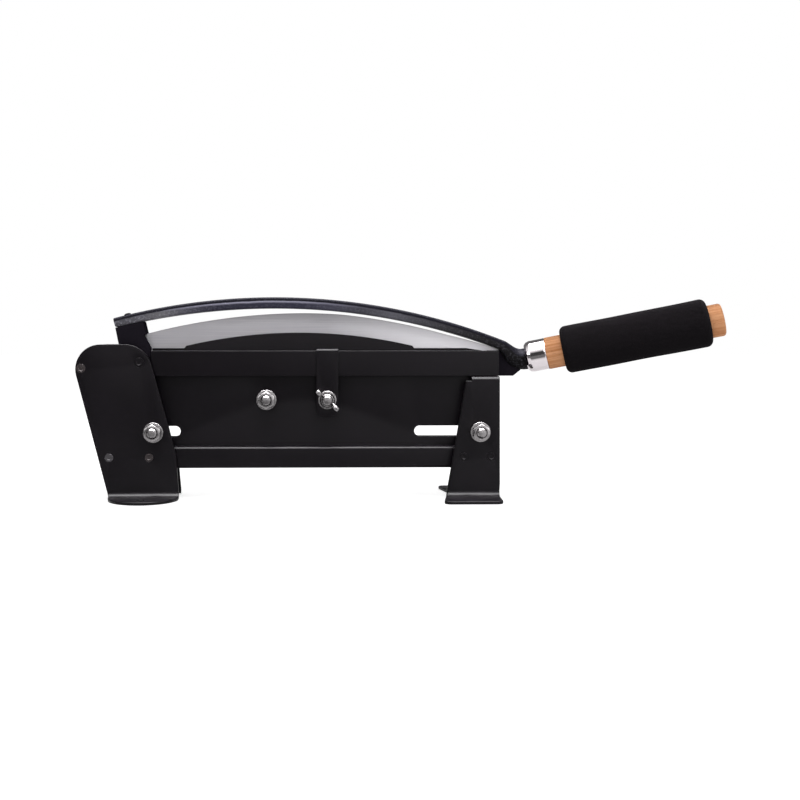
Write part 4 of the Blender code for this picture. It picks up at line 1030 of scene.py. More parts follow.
@dataclass(frozen=True)
class Legs:
    """Leg sheets with feet folded outwards; the rear sheets are a little narrower."""

    bend: float = 4.6
    top_bend: float = 1.2
    reach: float = 31.0
    left_top: float = -60.1
    left_crown: float = 15.3
    left_foot: float = -25.6
    front_right: tuple[float, float, float, float] = (5.5, 31.2, 37.8, 33.8)
    rear_right: tuple[float, float, float, float] = (2.5, 30.4, 23.0, 31.9)
    screw_reach: float = 19.5
    screw_radius: float = 3.25
    right_top: float = 278.4
    right_foot: float = 261.1
    right_edge: float = 306.7
    top_inset: float = 4.2
    rear_inset: float = 4.6
    rear_round: float = 5.0
    edge: float = 0.45

    @property
    def foot_fold(self) -> Fold:
        """The fold that makes a foot."""
        return Fold(self.bend + LAYERS.leg_sheet, False, True, self.bend)

    @property
    def top_fold(self) -> Fold:
        """The fold of the right leg's flange, in under the upper rail."""
        top = LAYERS.upper_rail_bottom - LAYERS.touch_gap
        return Fold(top - self.top_bend - LAYERS.leg_sheet, True, False, self.top_bend)

    def foot_height(self, reach: float) -> float:
        """Height in the flat sheet of a point of the foot, this far out from the leg."""
        fold = self.foot_fold
        return fold.flat_height(fold.bend_length(LAYERS.leg_sheet) + reach - self.bend)

    def left_outline(self, side: Side) -> Array:
        """Leaning plate with round shoulders; its foot is half a circle on the foot's width.

        Args:
            side: The sheet's side of the blade.

        Returns:
            Points of the flat outline.
        """
        top, knee_x, knee_z, foot_right = self.front_right if side is Side.FRONT else self.rear_right
        foot_left = self.left_foot
        radius = (foot_right - foot_left) / 2
        deep = radius if side is Side.FRONT else radius + self.rear_round
        centre = self.foot_height(self.reach) + deep
        angle = np.linspace(0.0, math.pi, 41)[1:-1]
        crown = LAYERS.pivot_height + self.left_crown
        return rounded_path([
            (foot_right, centre, 0.0),
            (knee_x, knee_z, 6.0),
            (top, crown, 23.0),
            (self.left_top, crown, 21.0),
            (foot_left, centre, 0.0),
            *zip(foot_left + radius * (1 - np.cos(angle)), centre - deep * np.sin(angle), np.zeros(39)),
        ], 14)

    def right_outline(self, less: float) -> Array:
        """Tapered plate with a narrower flange at the top and a straight foot.

        Args:
            less: How far its left edge is moved in.

        Returns:
            Points of the flat outline.
        """
        top, foot = self.top_fold, self.foot_height(self.reach)
        height = LAYERS.upper_rail_bottom - LAYERS.touch_gap
        lean = (self.right_top - self.right_foot) / height
        reach = LAYERS.leg_inner - self.top_bend - LAYERS.plate_outer - LAYERS.touch_gap
        end = top.flat_height(top.bend_length(LAYERS.leg_sheet) + reach)
        flange = self.right_top + less + self.top_inset
        return rounded_path([
            (self.right_foot + less + lean * foot - 1.2, foot, 5.0),
            (self.right_edge - 2.0, foot, 6.0),
            (self.right_edge, self.foot_fold.line + 6.0, 3.0),
            (self.right_edge, end, 0.8),
            (flange, end, 0.8),
            (flange, top.line - 0.3, 0.5),
            (self.right_foot + less + lean * top.line, top.line, 0.5),
        ])

    def build(self) -> None:
        """Make the four leg sheets."""
        foot, top = self.foot_fold, self.top_fold
        for side in Side:
            less, middle = (0.0, 4.4) if side is Side.FRONT else (self.rear_inset, 3.1)
            pins = (round_hole(0.0, LAYERS.pivot_height, PIVOT_RADIUS), round_hole(*STOP_PIN, STOP_RADIUS),
                    round_hole(middle, self.foot_height(self.screw_reach), self.screw_radius))
            for word, outline, bolt_x, more, rivets, folds in (
                    ("left", self.left_outline(side), LEFT_BOLT_X, pins, LEG_RIVETS_X[:2], (foot,)),
                    ("right", self.right_outline(less), RIGHT_BOLT_X, (), LEG_RIVETS_X[2:], (foot, top))):
                holes = (round_hole(bolt_x, LAYERS.slot_height, BOLT_BORE), *more,
                         *[round_hole(x, LAYERS.rivet_height, RIVET_RADIUS) for x in rivets])
                sheet = Plate(outline, LAYERS.leg_inner, LAYERS.leg_outer, holes, folds, self.edge).surface()
                name = f"{word}_leg_{side.word}"
                make_piece(f"{name}_sheet", name, on_side(sheet, side), BLACK_PAINT)


@dataclass(frozen=True)
class PinsAndRivets:
    """Pins and rivets across the legs, with peened ends, and the knife's washers."""

    proud: float = 0.15
    stop_head: float = 3.9
    washer_radius: float = 8.6

    def pin(self, x: float, z: float, radius: float, head: float = 0.0) -> Surface:
        """A rod across both legs: its ends are slightly domed, with a dimple where the punch stood.

        Args:
            x: Axis along the bed.
            z: Height of the axis.
            radius: Radius of the rod.
            head: Radius of a low peened head at each end, or 0 for none.

        Returns:
            The closed surface.
        """
        face, proud, wide = LAYERS.leg_outer + 0.02, self.proud * (2 if head else 1), max(radius, head)
        half = np.array([
            (radius, 0.0, 0.0),
            (radius, face, 0.0),
            *([(wide, face, 0.0)] if head else []),
            (wide, face + proud * 0.6, 0.1),
            (wide * 0.6, face + proud, wide * 0.15),
            (wide * 0.45, face + proud - 0.3, wide * 0.2),
            (0.0, face + proud - 0.35, 0.0),
        ])
        profile = np.vstack([half[::-1] * np.array([1.0, -1.0, 1.0]), half[1:]])
        return turned(open_profile(profile.tolist()), across_bed(x, z), 48)

    def build(self) -> None:
        """Make the pins, the rivets and the pivot's washers."""
        pivot = self.pin(0.0, LAYERS.pivot_height, PIVOT_RADIUS)
        stop = self.pin(*STOP_PIN, STOP_RADIUS, self.stop_head)
        make_piece("peened_pivot_pin", "knife_pivot_pin", pivot, BLACK_PAINT)
        make_piece("peened_stop_pin", "open_stop_pin", stop, WORN_PAINT)
        finishes = (THIN_PAINT, WORN_PAINT, BLACK_PAINT, BLACK_PAINT)
        for number, (x, finish) in enumerate(zip(LEG_RIVETS_X, finishes), 1):
            rivet = self.pin(x, LAYERS.rivet_height, RIVET_RADIUS)
            make_piece(f"peened_leg_rivet_{number}", f"leg_rivet_{number}", rivet, finish)
        inner, outer = HEEL_HALF + LAYERS.touch_gap, LAYERS.leg_inner - LAYERS.touch_gap
        bore = PIVOT_RADIUS + LAYERS.hole_play
        ring = rounded_path([(bore, inner, 0.2), (self.washer_radius, inner, 0.3),
                             (self.washer_radius, outer, 0.3), (bore, outer, 0.2)], 4)
        for side in Side:
            washer = turned(ring, across_bed(0.0, LAYERS.pivot_height, side), 64, True)
            make_piece(f"pivot_washer_{side.word}_ring", f"pivot_washer_{side.word}", washer, ZINC)


# Fasteners

@dataclass(frozen=True)
class Fasteners:
    """M8 nuts, bolts, washers and spacers."""

    flats: float = 13.0
    nut_height: float = 6.5
    head_height: float = 5.3
    washer_radius: float = 8.5
    strap_washer_radius: float = 7.7
    washer: float = 1.6
    proud: float = 3.0
    pitch: float = 1.25
    thread_depth: float = 0.62
    thread_length: float = 11.0
    spacer_radius: float = 7.0
    steps: int = 96

    def hexagon(self) -> tuple[Array, Array, Array, Array]:
        """Hexagon whose corners are cut by a 30 degree cone.

        Its side lies at half the flats over the cosine of the angle to its middle. The corners drop by
        (side - face circle) times the tangent of 30 degrees.

        Returns:
            Angles round the axis, distances of the side, of the face's circle, and the drop.
        """
        angle, sector = full_turn(self.steps), math.radians(60.0)
        side = np.minimum(self.flats / 2 / np.cos(angle % sector - sector / 2), self.flats / 2 * 1.145)
        circle = np.full_like(side, self.flats / 2 * 0.95)
        return angle, side, circle, (side - circle) * math.tan(math.radians(30.0))

    def nut(self, x: float, z: float, face: float) -> Surface:
        """Nut in front of a face, its bore chamfered at both ends.

        Args:
            x: Axis along the bed.
            z: Height of the axis.
            face: Depth of the face under the washer.

        Returns:
            The closed surface.
        """
        angle, side, circle, drop = self.hexagon()
        bore = np.full_like(side, BOLT_RADIUS + 0.15)
        low = np.full_like(side, face + 2 * LAYERS.touch_gap + self.washer)
        high = low + self.nut_height
        radius = np.array([bore, bore + 0.7, circle, side, side, circle, bore + 0.7, bore])
        height = np.array([low + 0.7, low, low, low + drop, high - drop, high, high, high - 0.7])
        axis = across_bed(x, z, Side.FRONT)
        return grid(axis.place(radius, height, angle + np.zeros_like(radius)), close_rows=True)

    def bolt(self, x: float, z: float, face: float, end: float) -> Surface:
        """Hexagon bolt with its head at the rear.

        The thread is a triangle wave of the share height / pitch + angle / full turn, cut into the shank and
        faded out at the point's chamfer.

        Args:
            x: Axis along the bed.
            z: Height of the axis.
            face: Depth of the face under the rear washer.
            end: How far in front of the blade's plane the bolt ends.

        Returns:
            The closed surface.
        """
        angle, side, circle, drop = self.hexagon()
        none = np.zeros_like(side)
        seat = none - (face + 2 * LAYERS.touch_gap + self.washer)
        top, shank = seat - self.head_height, none + BOLT_RADIUS
        rows = np.linspace(end - self.thread_length, end - 0.05, 110)[1:, None] + none
        share = (rows / self.pitch + angle / (2 * np.pi)) % 1.0
        groove = self.thread_depth * (1.0 - np.abs(2.0 * share - 1.0))
        thread = np.minimum(BOLT_RADIUS - groove, BOLT_RADIUS - 1.0 + (end - rows))
        radius = np.vstack([none, circle, side, side, circle, shank, shank, thread, shank - 1.2, none])
        height = np.vstack([top, top, top + drop, seat - 0.2, seat, seat, none + end - self.thread_length, rows,
                            none + end, none + end])
        axis = across_bed(x, z, Side.FRONT)
        return grid(axis.place(radius, height, angle + np.zeros_like(radius)))

    def tube(self, x: float, z: float, radius: float, *ends: float) -> Surface:
        """Washer or spacer round a bolt, between two values of Y, with eased rims.

        Args:
            x: Axis along the bed.
            z: Height of the axis.
            radius: Outer radius.
            ends: The two values of Y.

        Returns:
            The closed surface.
        """
        low, high = sorted(ends)
        ring = rounded_path([(BOLT_BORE, low, 0.15), (radius, low, 0.25), (radius, high, 0.25),
                             (BOLT_BORE, high, 0.15)], 4)
        return turned(ring, across_bed(x, z), 72, True)

    def build(self) -> None:
        """Make every bolt with what is on it, except the wing nut."""
        gap, middle = LAYERS.touch_gap, LAYERS.blade_slot / 2 - LAYERS.touch_gap
        leg, rail, strap = LAYERS.leg_outer, LAYERS.rail_outer, LAYERS.strap_outer
        for name, x, z, rear, front in (
                ("left_leg", LEFT_BOLT_X, LAYERS.slot_height, leg, leg),
                ("right_leg", RIGHT_BOLT_X, LAYERS.slot_height, leg, leg),
                ("centre", CENTRE_BOLT_X, LAYERS.bolt_height, rail, rail),
                ("strap", STRAP_BOLT_X, LAYERS.bolt_height, rail, strap)):
            on_strap = name == "strap"
            nut_height = WingNut().hub_height if on_strap else self.nut_height
            washer_radius = self.strap_washer_radius if on_strap else self.washer_radius
            bolt = self.bolt(x, z, rear, front + 2 * gap + self.washer + nut_height + self.proud)
            make_piece(f"{name}_hex_bolt", f"{name}_bolt", bolt, ZINC)
            for side, face in ((Side.REAR, rear), (Side.FRONT, front)):
                low = face + gap
                ring = self.tube(x, z, washer_radius, side.value * low, side.value * (low + self.washer))
                make_piece(f"{name}_flat_washer_{side.word}", f"{name}_washer_{side.word}", ring, ZINC)
            ring = self.tube(x, z, self.spacer_radius, -middle, middle)
            make_piece(f"{name}_middle_ring", f"{name}_slot_spacer", ring, ZINC)
            if not on_strap:
                make_piece(f"{name}_hex_nut", f"{name}_nut", self.nut(x, z, front), ZINC)
            for side in Side if rear == rail else ():
                tube = self.tube(x, z, self.spacer_radius, side.value * LAYERS.rail_inner,
                                 side.value * LAYERS.rail_outer)
                make_piece(f"{name}_spacer_tube_{side.word}", f"{name}_spacer_{side.word}", tube, ZINC)


@dataclass(frozen=True)
class WingNut:
    """Cast wing nut: a waisted hub and two thick ears with round edges."""

    hub_radius: float = 6.4
    hub_height: float = 7.0
    span: float = 25.6
    ear: float = 3.8
    height: float = 10.5
    angle: float = -42.0

    def ear_plate(self, turn: float) -> Surface:
        """One ear, its outline drawn in distance from the axis and height above the seat.

        Args:
            turn: 1 for the right ear, -1 for the left one.

        Returns:
            The closed surface.
        """
        tip, low = self.span / 2, self.hub_height * 0.15
        corners = np.array([
            (4.4, low, 0.0),
            (self.hub_radius + 1.0, low, 1.0),
            (tip - 0.6, self.height * 0.5, 3.0),
            (tip + 0.1, self.height * 0.98, 2.2),
            (tip - 4.2, self.height, 2.2),
            (4.4, self.hub_height * 0.95, 0.0),
        ]) * np.array([turn, 1.0, 1.0])
        flat = Plate(rounded_path(corners), -self.ear / 2, self.ear / 2, edge=1.1, edge_steps=5).surface()
        lean = math.radians(self.angle)
        along = np.array([math.cos(lean), 0.0, math.sin(lean)])
        across = np.array([-math.sin(lean), 0.0, math.cos(lean)])
        return Surface(flat.points @ np.array([along, across, (0.0, -1.0, 0.0)]), flat.faces)

    def build(self) -> None:
        """Make the wing nut on its own body."""
        seat = LAYERS.rail_outer + LAYERS.strap_sheet + Fasteners().washer + 3 * LAYERS.touch_gap
        bore, crown = BOLT_RADIUS + 0.2, self.hub_radius - 1.2
        hub = rounded_path([
            (bore, 0.0, 0.3), (self.hub_radius, 0.0, 0.4), (self.hub_radius, self.hub_height * 0.35, 1.0),
            (crown, self.hub_height, 0.6), (bore + 0.6, self.hub_height, 0.2), (bore, self.hub_height - 0.6, 0.2),
        ], 5)
        hub = turned(hub, across_bed(0.0, 0.0, Side.FRONT), 72, True)
        nut = Surface.join([hub, self.ear_plate(-1.0), self.ear_plate(1.0)])
        nut.points = nut.points + np.array([STRAP_BOLT_X, -seat, LAYERS.bolt_height])
        make_piece("cast_wing_nut", "wing_nut", nut, ZINC, Body.WING_NUT)


@dataclass(frozen=True)
class HoldDownStrap:
    """Strap that hooks over the upper rail and is clamped by the wing nut."""

    width: float = 18.7
    tail: float = 13.6
    corner: float = 6.0
    lift: float = 4.0

    def build(self) -> None:
        """Make the strap on its own body."""
        inner, outer, axis_z = LAYERS.leg_inner, LAYERS.strap_outer, LAYERS.bolt_height
        corner = Bed().upper_corner + 0.2
        hook = Fold(LAYERS.upper_rail_top - corner, True, False, corner + LAYERS.touch_gap)
        reach = inner - hook.radius - LAYERS.plate_outer - LAYERS.touch_gap
        tip = hook.flat_height(hook.bend_length(LAYERS.strap_sheet) + reach)
        low, left, right = axis_z - self.tail, STRAP_BOLT_X - self.width / 2, STRAP_BOLT_X + self.width / 2
        outline = rounded_path([(left, low, self.corner), (right, low, self.corner), (right, tip, 0.6),
                                (left, tip, 0.6)], 12)
        slot = long_hole(axis_z - self.lift - BOLT_BORE, axis_z + BOLT_BORE, 0.0, 2 * BOLT_BORE)
        slot = np.stack([STRAP_BOLT_X + slot[:, 1], slot[:, 0]], axis=1)
        strap = Plate(outline, inner, outer, (slot,), (hook,), 0.3).surface()
        make_piece("hooked_strap", "hold_down_strap", on_side(strap, Side.FRONT), BLACK_PAINT, Body.STRAP)


# Knife

@dataclass(frozen=True)
class Handle:
    """Ferrule, wooden handle and foam grip, turned on an axis that leans up and to the front."""

    start_x: float = 331.8
    start_rise: float = 3.75
    sidestep: float = 2.0
    tilt: float = 11.4
    yaw: float = 15.0
    ferrule_length: float = 17.7
    ferrule_radius: float = 13.5
    mouth_radius: float = 10.8
    mouth_bore: float = 9.7
    wall: float = 1.0
    dome: float = 4.5
    wood_radius: float = 13.7
    wood_length: float = 164.4
    wood_start: float = 6.0
    grip_start: float = 31.7
    grip_length: float = 121.3
    grip_radius: float = 20.2
    grip_round: float = 5.0
    nail_radius: float = 0.9
    nail_place: float = 3.6
    nail_angle: float = -43.0

    @property
    def start(self) -> Array:
        """The ferrule's mouth, on the axis."""
        return np.array([self.start_x, -self.sidestep, LAYERS.pivot_height + self.start_rise])

    @property
    def way(self) -> Array:
        """Direction of the axis."""
        tilt, yaw = math.radians(self.tilt), math.radians(self.yaw)
        return np.array([math.cos(tilt) * math.cos(yaw), -math.cos(tilt) * math.sin(yaw), math.sin(tilt)])

    @property
    def axis(self) -> Axis:
        """The axis that the handle is turned on."""
        return Axis(tuple(self.start), tuple(self.way))

    def ferrule(self) -> Surface:
        """Drawn cup: a dome that turns into a tube with a rolled rim.

        Returns:
            The closed surface.
        """
        outer, wall, mouth, end = self.ferrule_radius, self.wall, self.mouth_bore, self.ferrule_length
        return turned(rounded_path([
            (mouth, 0.0, 0.3), (self.mouth_radius, 0.0, 1.2), (outer - 0.9, self.dome * 0.4, 1.6),
            (outer, self.dome, 3.0), (outer, end - 1.2, 0.5), (outer + 0.15, end - 0.6, 0.4),
            (outer + 0.1, end, 0.3), (outer - wall, end, 0.2), (outer - wall, self.dome, 1.5),
            (self.mouth_radius - 0.3, wall, 0.5), (mouth, wall, 0.3),
        ], 8), self.axis, 128, True)

    def wood(self) -> Surface:
        """Turned handle with a spigot inside the ferrule and an eased end.

        Returns:
            The closed surface.
        """
        spigot = self.ferrule_radius - self.wall - LAYERS.touch_gap
        shoulder, start, end = self.ferrule_length + LAYERS.touch_gap, self.wood_start, self.wood_length
        return turned(open_profile([
            (0.0, start, 0.0), (spigot, start, 1.0), (spigot, shoulder, 0.1), (self.wood_radius, shoulder, 0.5),
            (self.wood_radius, end, 2.4), (0.0, end, 0.0),
        ], 10), self.axis, 128)

    def grip(self) -> Surface:
        """Foam sleeve: a rounded profile whose radius swells a little by a slow sine round and along it.

        Returns:
            The closed surface.
        """
        bore, wide, low = self.wood_radius + 0.1, self.grip_radius, self.grip_start
        end = low + self.grip_length
        profile = rounded_path([(bore, low, 0.8), (wide, low, self.grip_round), (wide, end, self.grip_round),
                                (bore, end, 0.8)], 14)
        side = np.linspace(low + self.grip_round, end - self.grip_round, 60)[1:-1]
        step = np.roll(profile, -1, 0)[:, 1] - profile[:, 1]
        at = int(np.argmax((profile[:, 0] > wide - 1e-6) & (step > 50)))
        profile = np.insert(profile, at + 1, np.stack([np.full_like(side, wide), side], axis=1), axis=0)
        angle = full_turn(144)[None] + np.zeros((len(profile), 1))
        height = profile[:, 1:] + np.zeros_like(angle)
        outside = np.clip((profile[:, :1] - bore) / (wide - bore), 0.0, 1.0)
        swell = 0.12 * np.sin(2 * angle + height * 0.045) + 0.08 * np.sin(3 * angle - height * 0.11)
        return grid(self.axis.place(profile[:, :1] + outside * swell, height, angle), close_rows=True)

    def nail(self) -> Surface:
        """Small nail through the ferrule, with a domed head.

        Returns:
            The closed surface.
        """
        yaw, lean = math.radians(self.yaw), math.radians(self.nail_angle)
        front = np.array([-math.sin(yaw), -math.cos(yaw), 0.0])
        out = front * math.cos(lean) + np.cross(front, self.way) * math.sin(lean)
        root = self.start + self.way * self.nail_place
        radius, top = self.nail_radius, self.ferrule_radius + 0.4
        profile = open_profile([
            (0.0, top - 8.0, 0.0), (radius, top - 8.0, 0.1), (radius, top - 0.6, 0.1),
            (radius + 0.35, top - 0.45, 0.1), (radius + 0.2, top - 0.1, 0.3), (0.0, top, 0.0),
        ], 4)
        return turned(profile, Axis(tuple(root), tuple(out)), 24)

    def build(self) -> None:
        """Make the handle's pieces."""
        turn = Vector(self.way).to_track_quat("X", "Z").to_euler()
        beech = TurnedBeech("lacquered_turned_beech", "wood", {"Specular IOR Level": 0.02},
                            tuple(self.start * MM + ORIGIN), tuple(turn))
        make_piece("chromed_ferrule", "ferrule", self.ferrule(), CHROME, Body.KNIFE)
        make_piece("ferrule_nail_head", "ferrule_nail", self.nail(), WORN_PAINT, Body.KNIFE)
        make_piece("turned_wooden_handle", "wooden_handle", self.wood(), beech, Body.KNIFE)
        grip = make_piece("foam_rubber_grip", "foam_grip", self.grip(), FOAM, Body.KNIFE, 60.0)


@dataclass(frozen=True)
class Arm:
    """Arched bar of the knife, drawn out into a round neck that enters the ferrule."""

    crown_x: float = 115.0
    crown_rise: float = 55.6
    radius: float = 537.0
    left: float = -22.4
    bend_x: float = 309.5
    width: float = 18.0
    left_thickness: float = 7.9
    crown_thickness: float = 9.5
    right_thickness: float = 8.1
    lead: float = 5.0
    tail: float = 12.0
    drop: float = 1.0
    neck_half: float = 9.2
    corner: float = 1.9
    end_round: float = 1.0
    heel_left: float = -21.4
    heel_right: float = 2.3
    lobe: float = 9.0
    heel_bore: float = 4.1
    rivet_x: float = -12.2
    rivet_radius: float = 2.5
    rivet_head: float = 3.0
    rivet_length: float = 14.0

    def top(self, x: Array) -> Array:
        """Height of the top edge: a circle of the bar's radius under its crown."""
        crown = LAYERS.pivot_height + self.crown_rise
        return crown - self.radius + np.sqrt(self.radius ** 2 - (x - self.crown_x) ** 2)

    def thickness(self, x: Array) -> Array:
        """Thickness, which falls with the square of the distance from the crown.

        Args:
            x: Places along the bed.

        Returns:
            Thickness at each place.
        """
        left = x < self.crown_x
        end_x = np.where(left, self.left, self.bend_x)
        end = np.where(left, self.left_thickness, self.right_thickness)
        share = np.minimum(1.0, np.abs((x - self.crown_x) / (end_x - self.crown_x)))
        return self.crown_thickness + (end - self.crown_thickness) * share ** 2

    def slope(self, x: Array) -> Array:
        """Angle of the arch above the level."""
        return -np.arcsin((x - self.crown_x) / self.radius)

    def under(self, x: Array) -> Array:
        """Height of the underside."""
        return self.top(x) - self.thickness(x) / np.cos(self.slope(x))

    def neck(self, share: Array) -> tuple[Array, Array]:
        """Points and directions of the cubic curve from the arch's end into the handle's axis.

        Args:
            share: Places along the curve, from 0 to 1.

        Returns:
            The points, and their directions of length one.
        """
        handle = Handle()
        bend = np.array(self.bend_x)
        slope = float(self.slope(bend))
        start = np.array([self.bend_x, 0.0, float(self.top(bend) + self.under(bend)) / 2])
        lead = start + np.array([math.cos(slope), 0.0, math.sin(slope)]) * self.lead
        end = handle.start - np.array([0.0, 0.0, self.drop])
        tail = end - handle.way * self.tail
        s, rest = share[:, None], 1.0 - share[:, None]
        point = start * rest ** 3 + lead * 3 * rest ** 2 * s + tail * 3 * rest * s ** 2 + end * s ** 3
        way = (lead - start) * rest ** 2 + (tail - lead) * 2 * rest * s + (end - tail) * s ** 2
        return point, unit(way)

    def grown(self, start: float, share: Array) -> Array:
        """Half a size that grows into the neck's half width by the smooth step, share squared times 3 - 2 share."""
        return start + (self.neck_half - start) * share * share * (3 - 2 * share)

    def bar(self) -> Surface:
        """Rounded rectangle carried along the arch and the neck, whose corner radius grows until it is round.

        A ring's point is the corner's centre, (half width - r, half height - r) with the signs of cosine and
        sine, plus r times cosine and sine.

        Returns:
            The closed surface.
        """
        handle = Handle()
        x = np.linspace(self.left, self.bend_x, 140)
        slope = self.slope(x)
        arch = np.stack([x, np.zeros_like(x), (self.top(x) + self.under(x)) / 2], axis=1)
        arch_way = np.stack([np.cos(slope), np.zeros_like(x), np.sin(slope)], axis=1)
        share = np.linspace(0.0, 1.0, 36)[1:]
        neck, neck_way = self.neck(share)
        inside_ferrule = neck[-1] + handle.way * np.array([[2.0], [5.7]])
        tail = [self.neck_half, self.neck_half - 0.4]
        half_high, half_wide, corner = (
            np.concatenate([on_arch, self.grown(end, share), tail]) for on_arch, end in (
                (self.thickness(x) / 2, self.right_thickness / 2),
                (np.full_like(x, self.width / 2), self.width / 2),
                (np.full_like(x, self.corner), self.corner)))
        corner = np.minimum(corner, np.minimum(half_high, half_wide) - 0.01)
        points = np.vstack([arch, neck, inside_ferrule])
        ways = np.vstack([arch_way, neck_way, handle.way, handle.way])
        start, first = points[0], ways[0]
        quarter = np.linspace(0.0, math.pi / 2, 5)[:-1]
        ahead = first * self.end_round
        points = np.vstack([start + ahead * (1.0 - np.cos(quarter))[:, None], start + ahead, points[1:]])
        ways = np.vstack([np.tile(first, (4, 1)), ways])
        less = self.end_round * (1.0 - np.sin(quarter))
        half_high = np.concatenate([half_high[0] - less, half_high])
        half_wide = np.concatenate([half_wide[0] - less, half_wide])
        corner = np.concatenate([np.full(4, self.corner), corner])
        turn, flat = np.linspace(0.0, math.pi / 2, 9), np.linspace(-1.0, 1.0, 16)[1:-1]
        still = np.ones_like(flat)
        angle = np.concatenate([turn, still * math.pi / 2, turn + math.pi / 2, still * math.pi, turn + math.pi,
                                still * 3 * math.pi / 2, turn + 3 * math.pi / 2, still * 0.0])[None]
        edge = np.ones_like(turn)
        out = np.concatenate([edge, -flat, -edge, -still, -edge, flat, edge, still])[None]
        up_down = np.concatenate([edge, still, edge, -flat, -edge, -still, -edge, flat])[None]
        r = corner[:, None]
        across = out * (half_wide[:, None] - r) + r * np.cos(angle)
        rise = up_down * (half_high[:, None] - r) + r * np.sin(angle)
        side = unit(np.stack([-ways[:, 1], ways[:, 0], np.zeros(len(ways))], axis=1))
        up = np.cross(ways, side)
        ring = points[:, None] + side[:, None] * across[..., None] + up[:, None] * rise[..., None]
        surface = grid(ring, caps=True)
        surface.marks["level"] = (rise / half_high[:, None]).reshape(-1) * 0.5 + 0.5
        along = (points[:, 0] - self.left) / (handle.start_x - self.left)
        surface.marks["along"] = np.repeat(along, ring.shape[1])
        return surface

    def heel(self) -> Surface:
        """Block between the bar and the pivot, with a round lobe on the pin.

        Returns:
            The closed surface.
        """
        axis_z = LAYERS.pivot_height
        x = np.linspace(self.heel_right, self.heel_left, 9)
        angle = math.pi + np.linspace(0.0, math.pi, 33)
        outline = rounded_path([
            *zip(x, self.under(x) - LAYERS.touch_gap, np.zeros(9)),
            (-18.6, axis_z + 15.8, 4.0),
            *zip(self.lobe * np.cos(angle), axis_z + self.lobe * np.sin(angle), np.zeros(33)),
            (8.4, axis_z + 12.7, 1.0),
            (2.5, axis_z + 23.2, 0.5),
            (4.9, axis_z + 23.9, 0.5),
        ])
        hole = round_hole(0.0, axis_z, self.heel_bore)
        return Plate(outline, -HEEL_HALF, HEEL_HALF, (hole,), edge=0.45).surface()

    def heel_rivet(self) -> Surface:
        """Rivet through the bar into the heel, with a low domed head.

        Returns:
            The closed surface.
        """
        x = np.array(self.rivet_x)
        slope, radius, head = float(self.slope(x)), self.rivet_radius, self.rivet_head
        axis = Axis((self.rivet_x, 0.0, float(self.top(x))), (-math.sin(slope), 0.0, math.cos(slope)))
        profile = open_profile([
            (0.0, -self.rivet_length, 0.0), (radius, -self.rivet_length, 0.2), (radius, 0.1, 0.1),
            (head, 0.1, 0.1), (head, 0.9, 0.6), (1.6, 1.6, 1.0), (0.0, 1.65, 0.0),
        ], 6)
        return turned(profile, axis, 48)

    def build(self) -> None:
        """Make the bar, the heel block and its rivet."""
        make_piece("forged_arched_bar", "arch_bar", self.bar(), BAR_LACQUER, Body.KNIFE, 40.0)
        make_piece("forged_heel_block", "heel_block", self.heel(), FORGE_SCALE, Body.KNIFE)
        make_piece("domed_heel_rivet", "heel_rivet", self.heel_rivet(), FORGE_SCALE, Body.KNIFE)


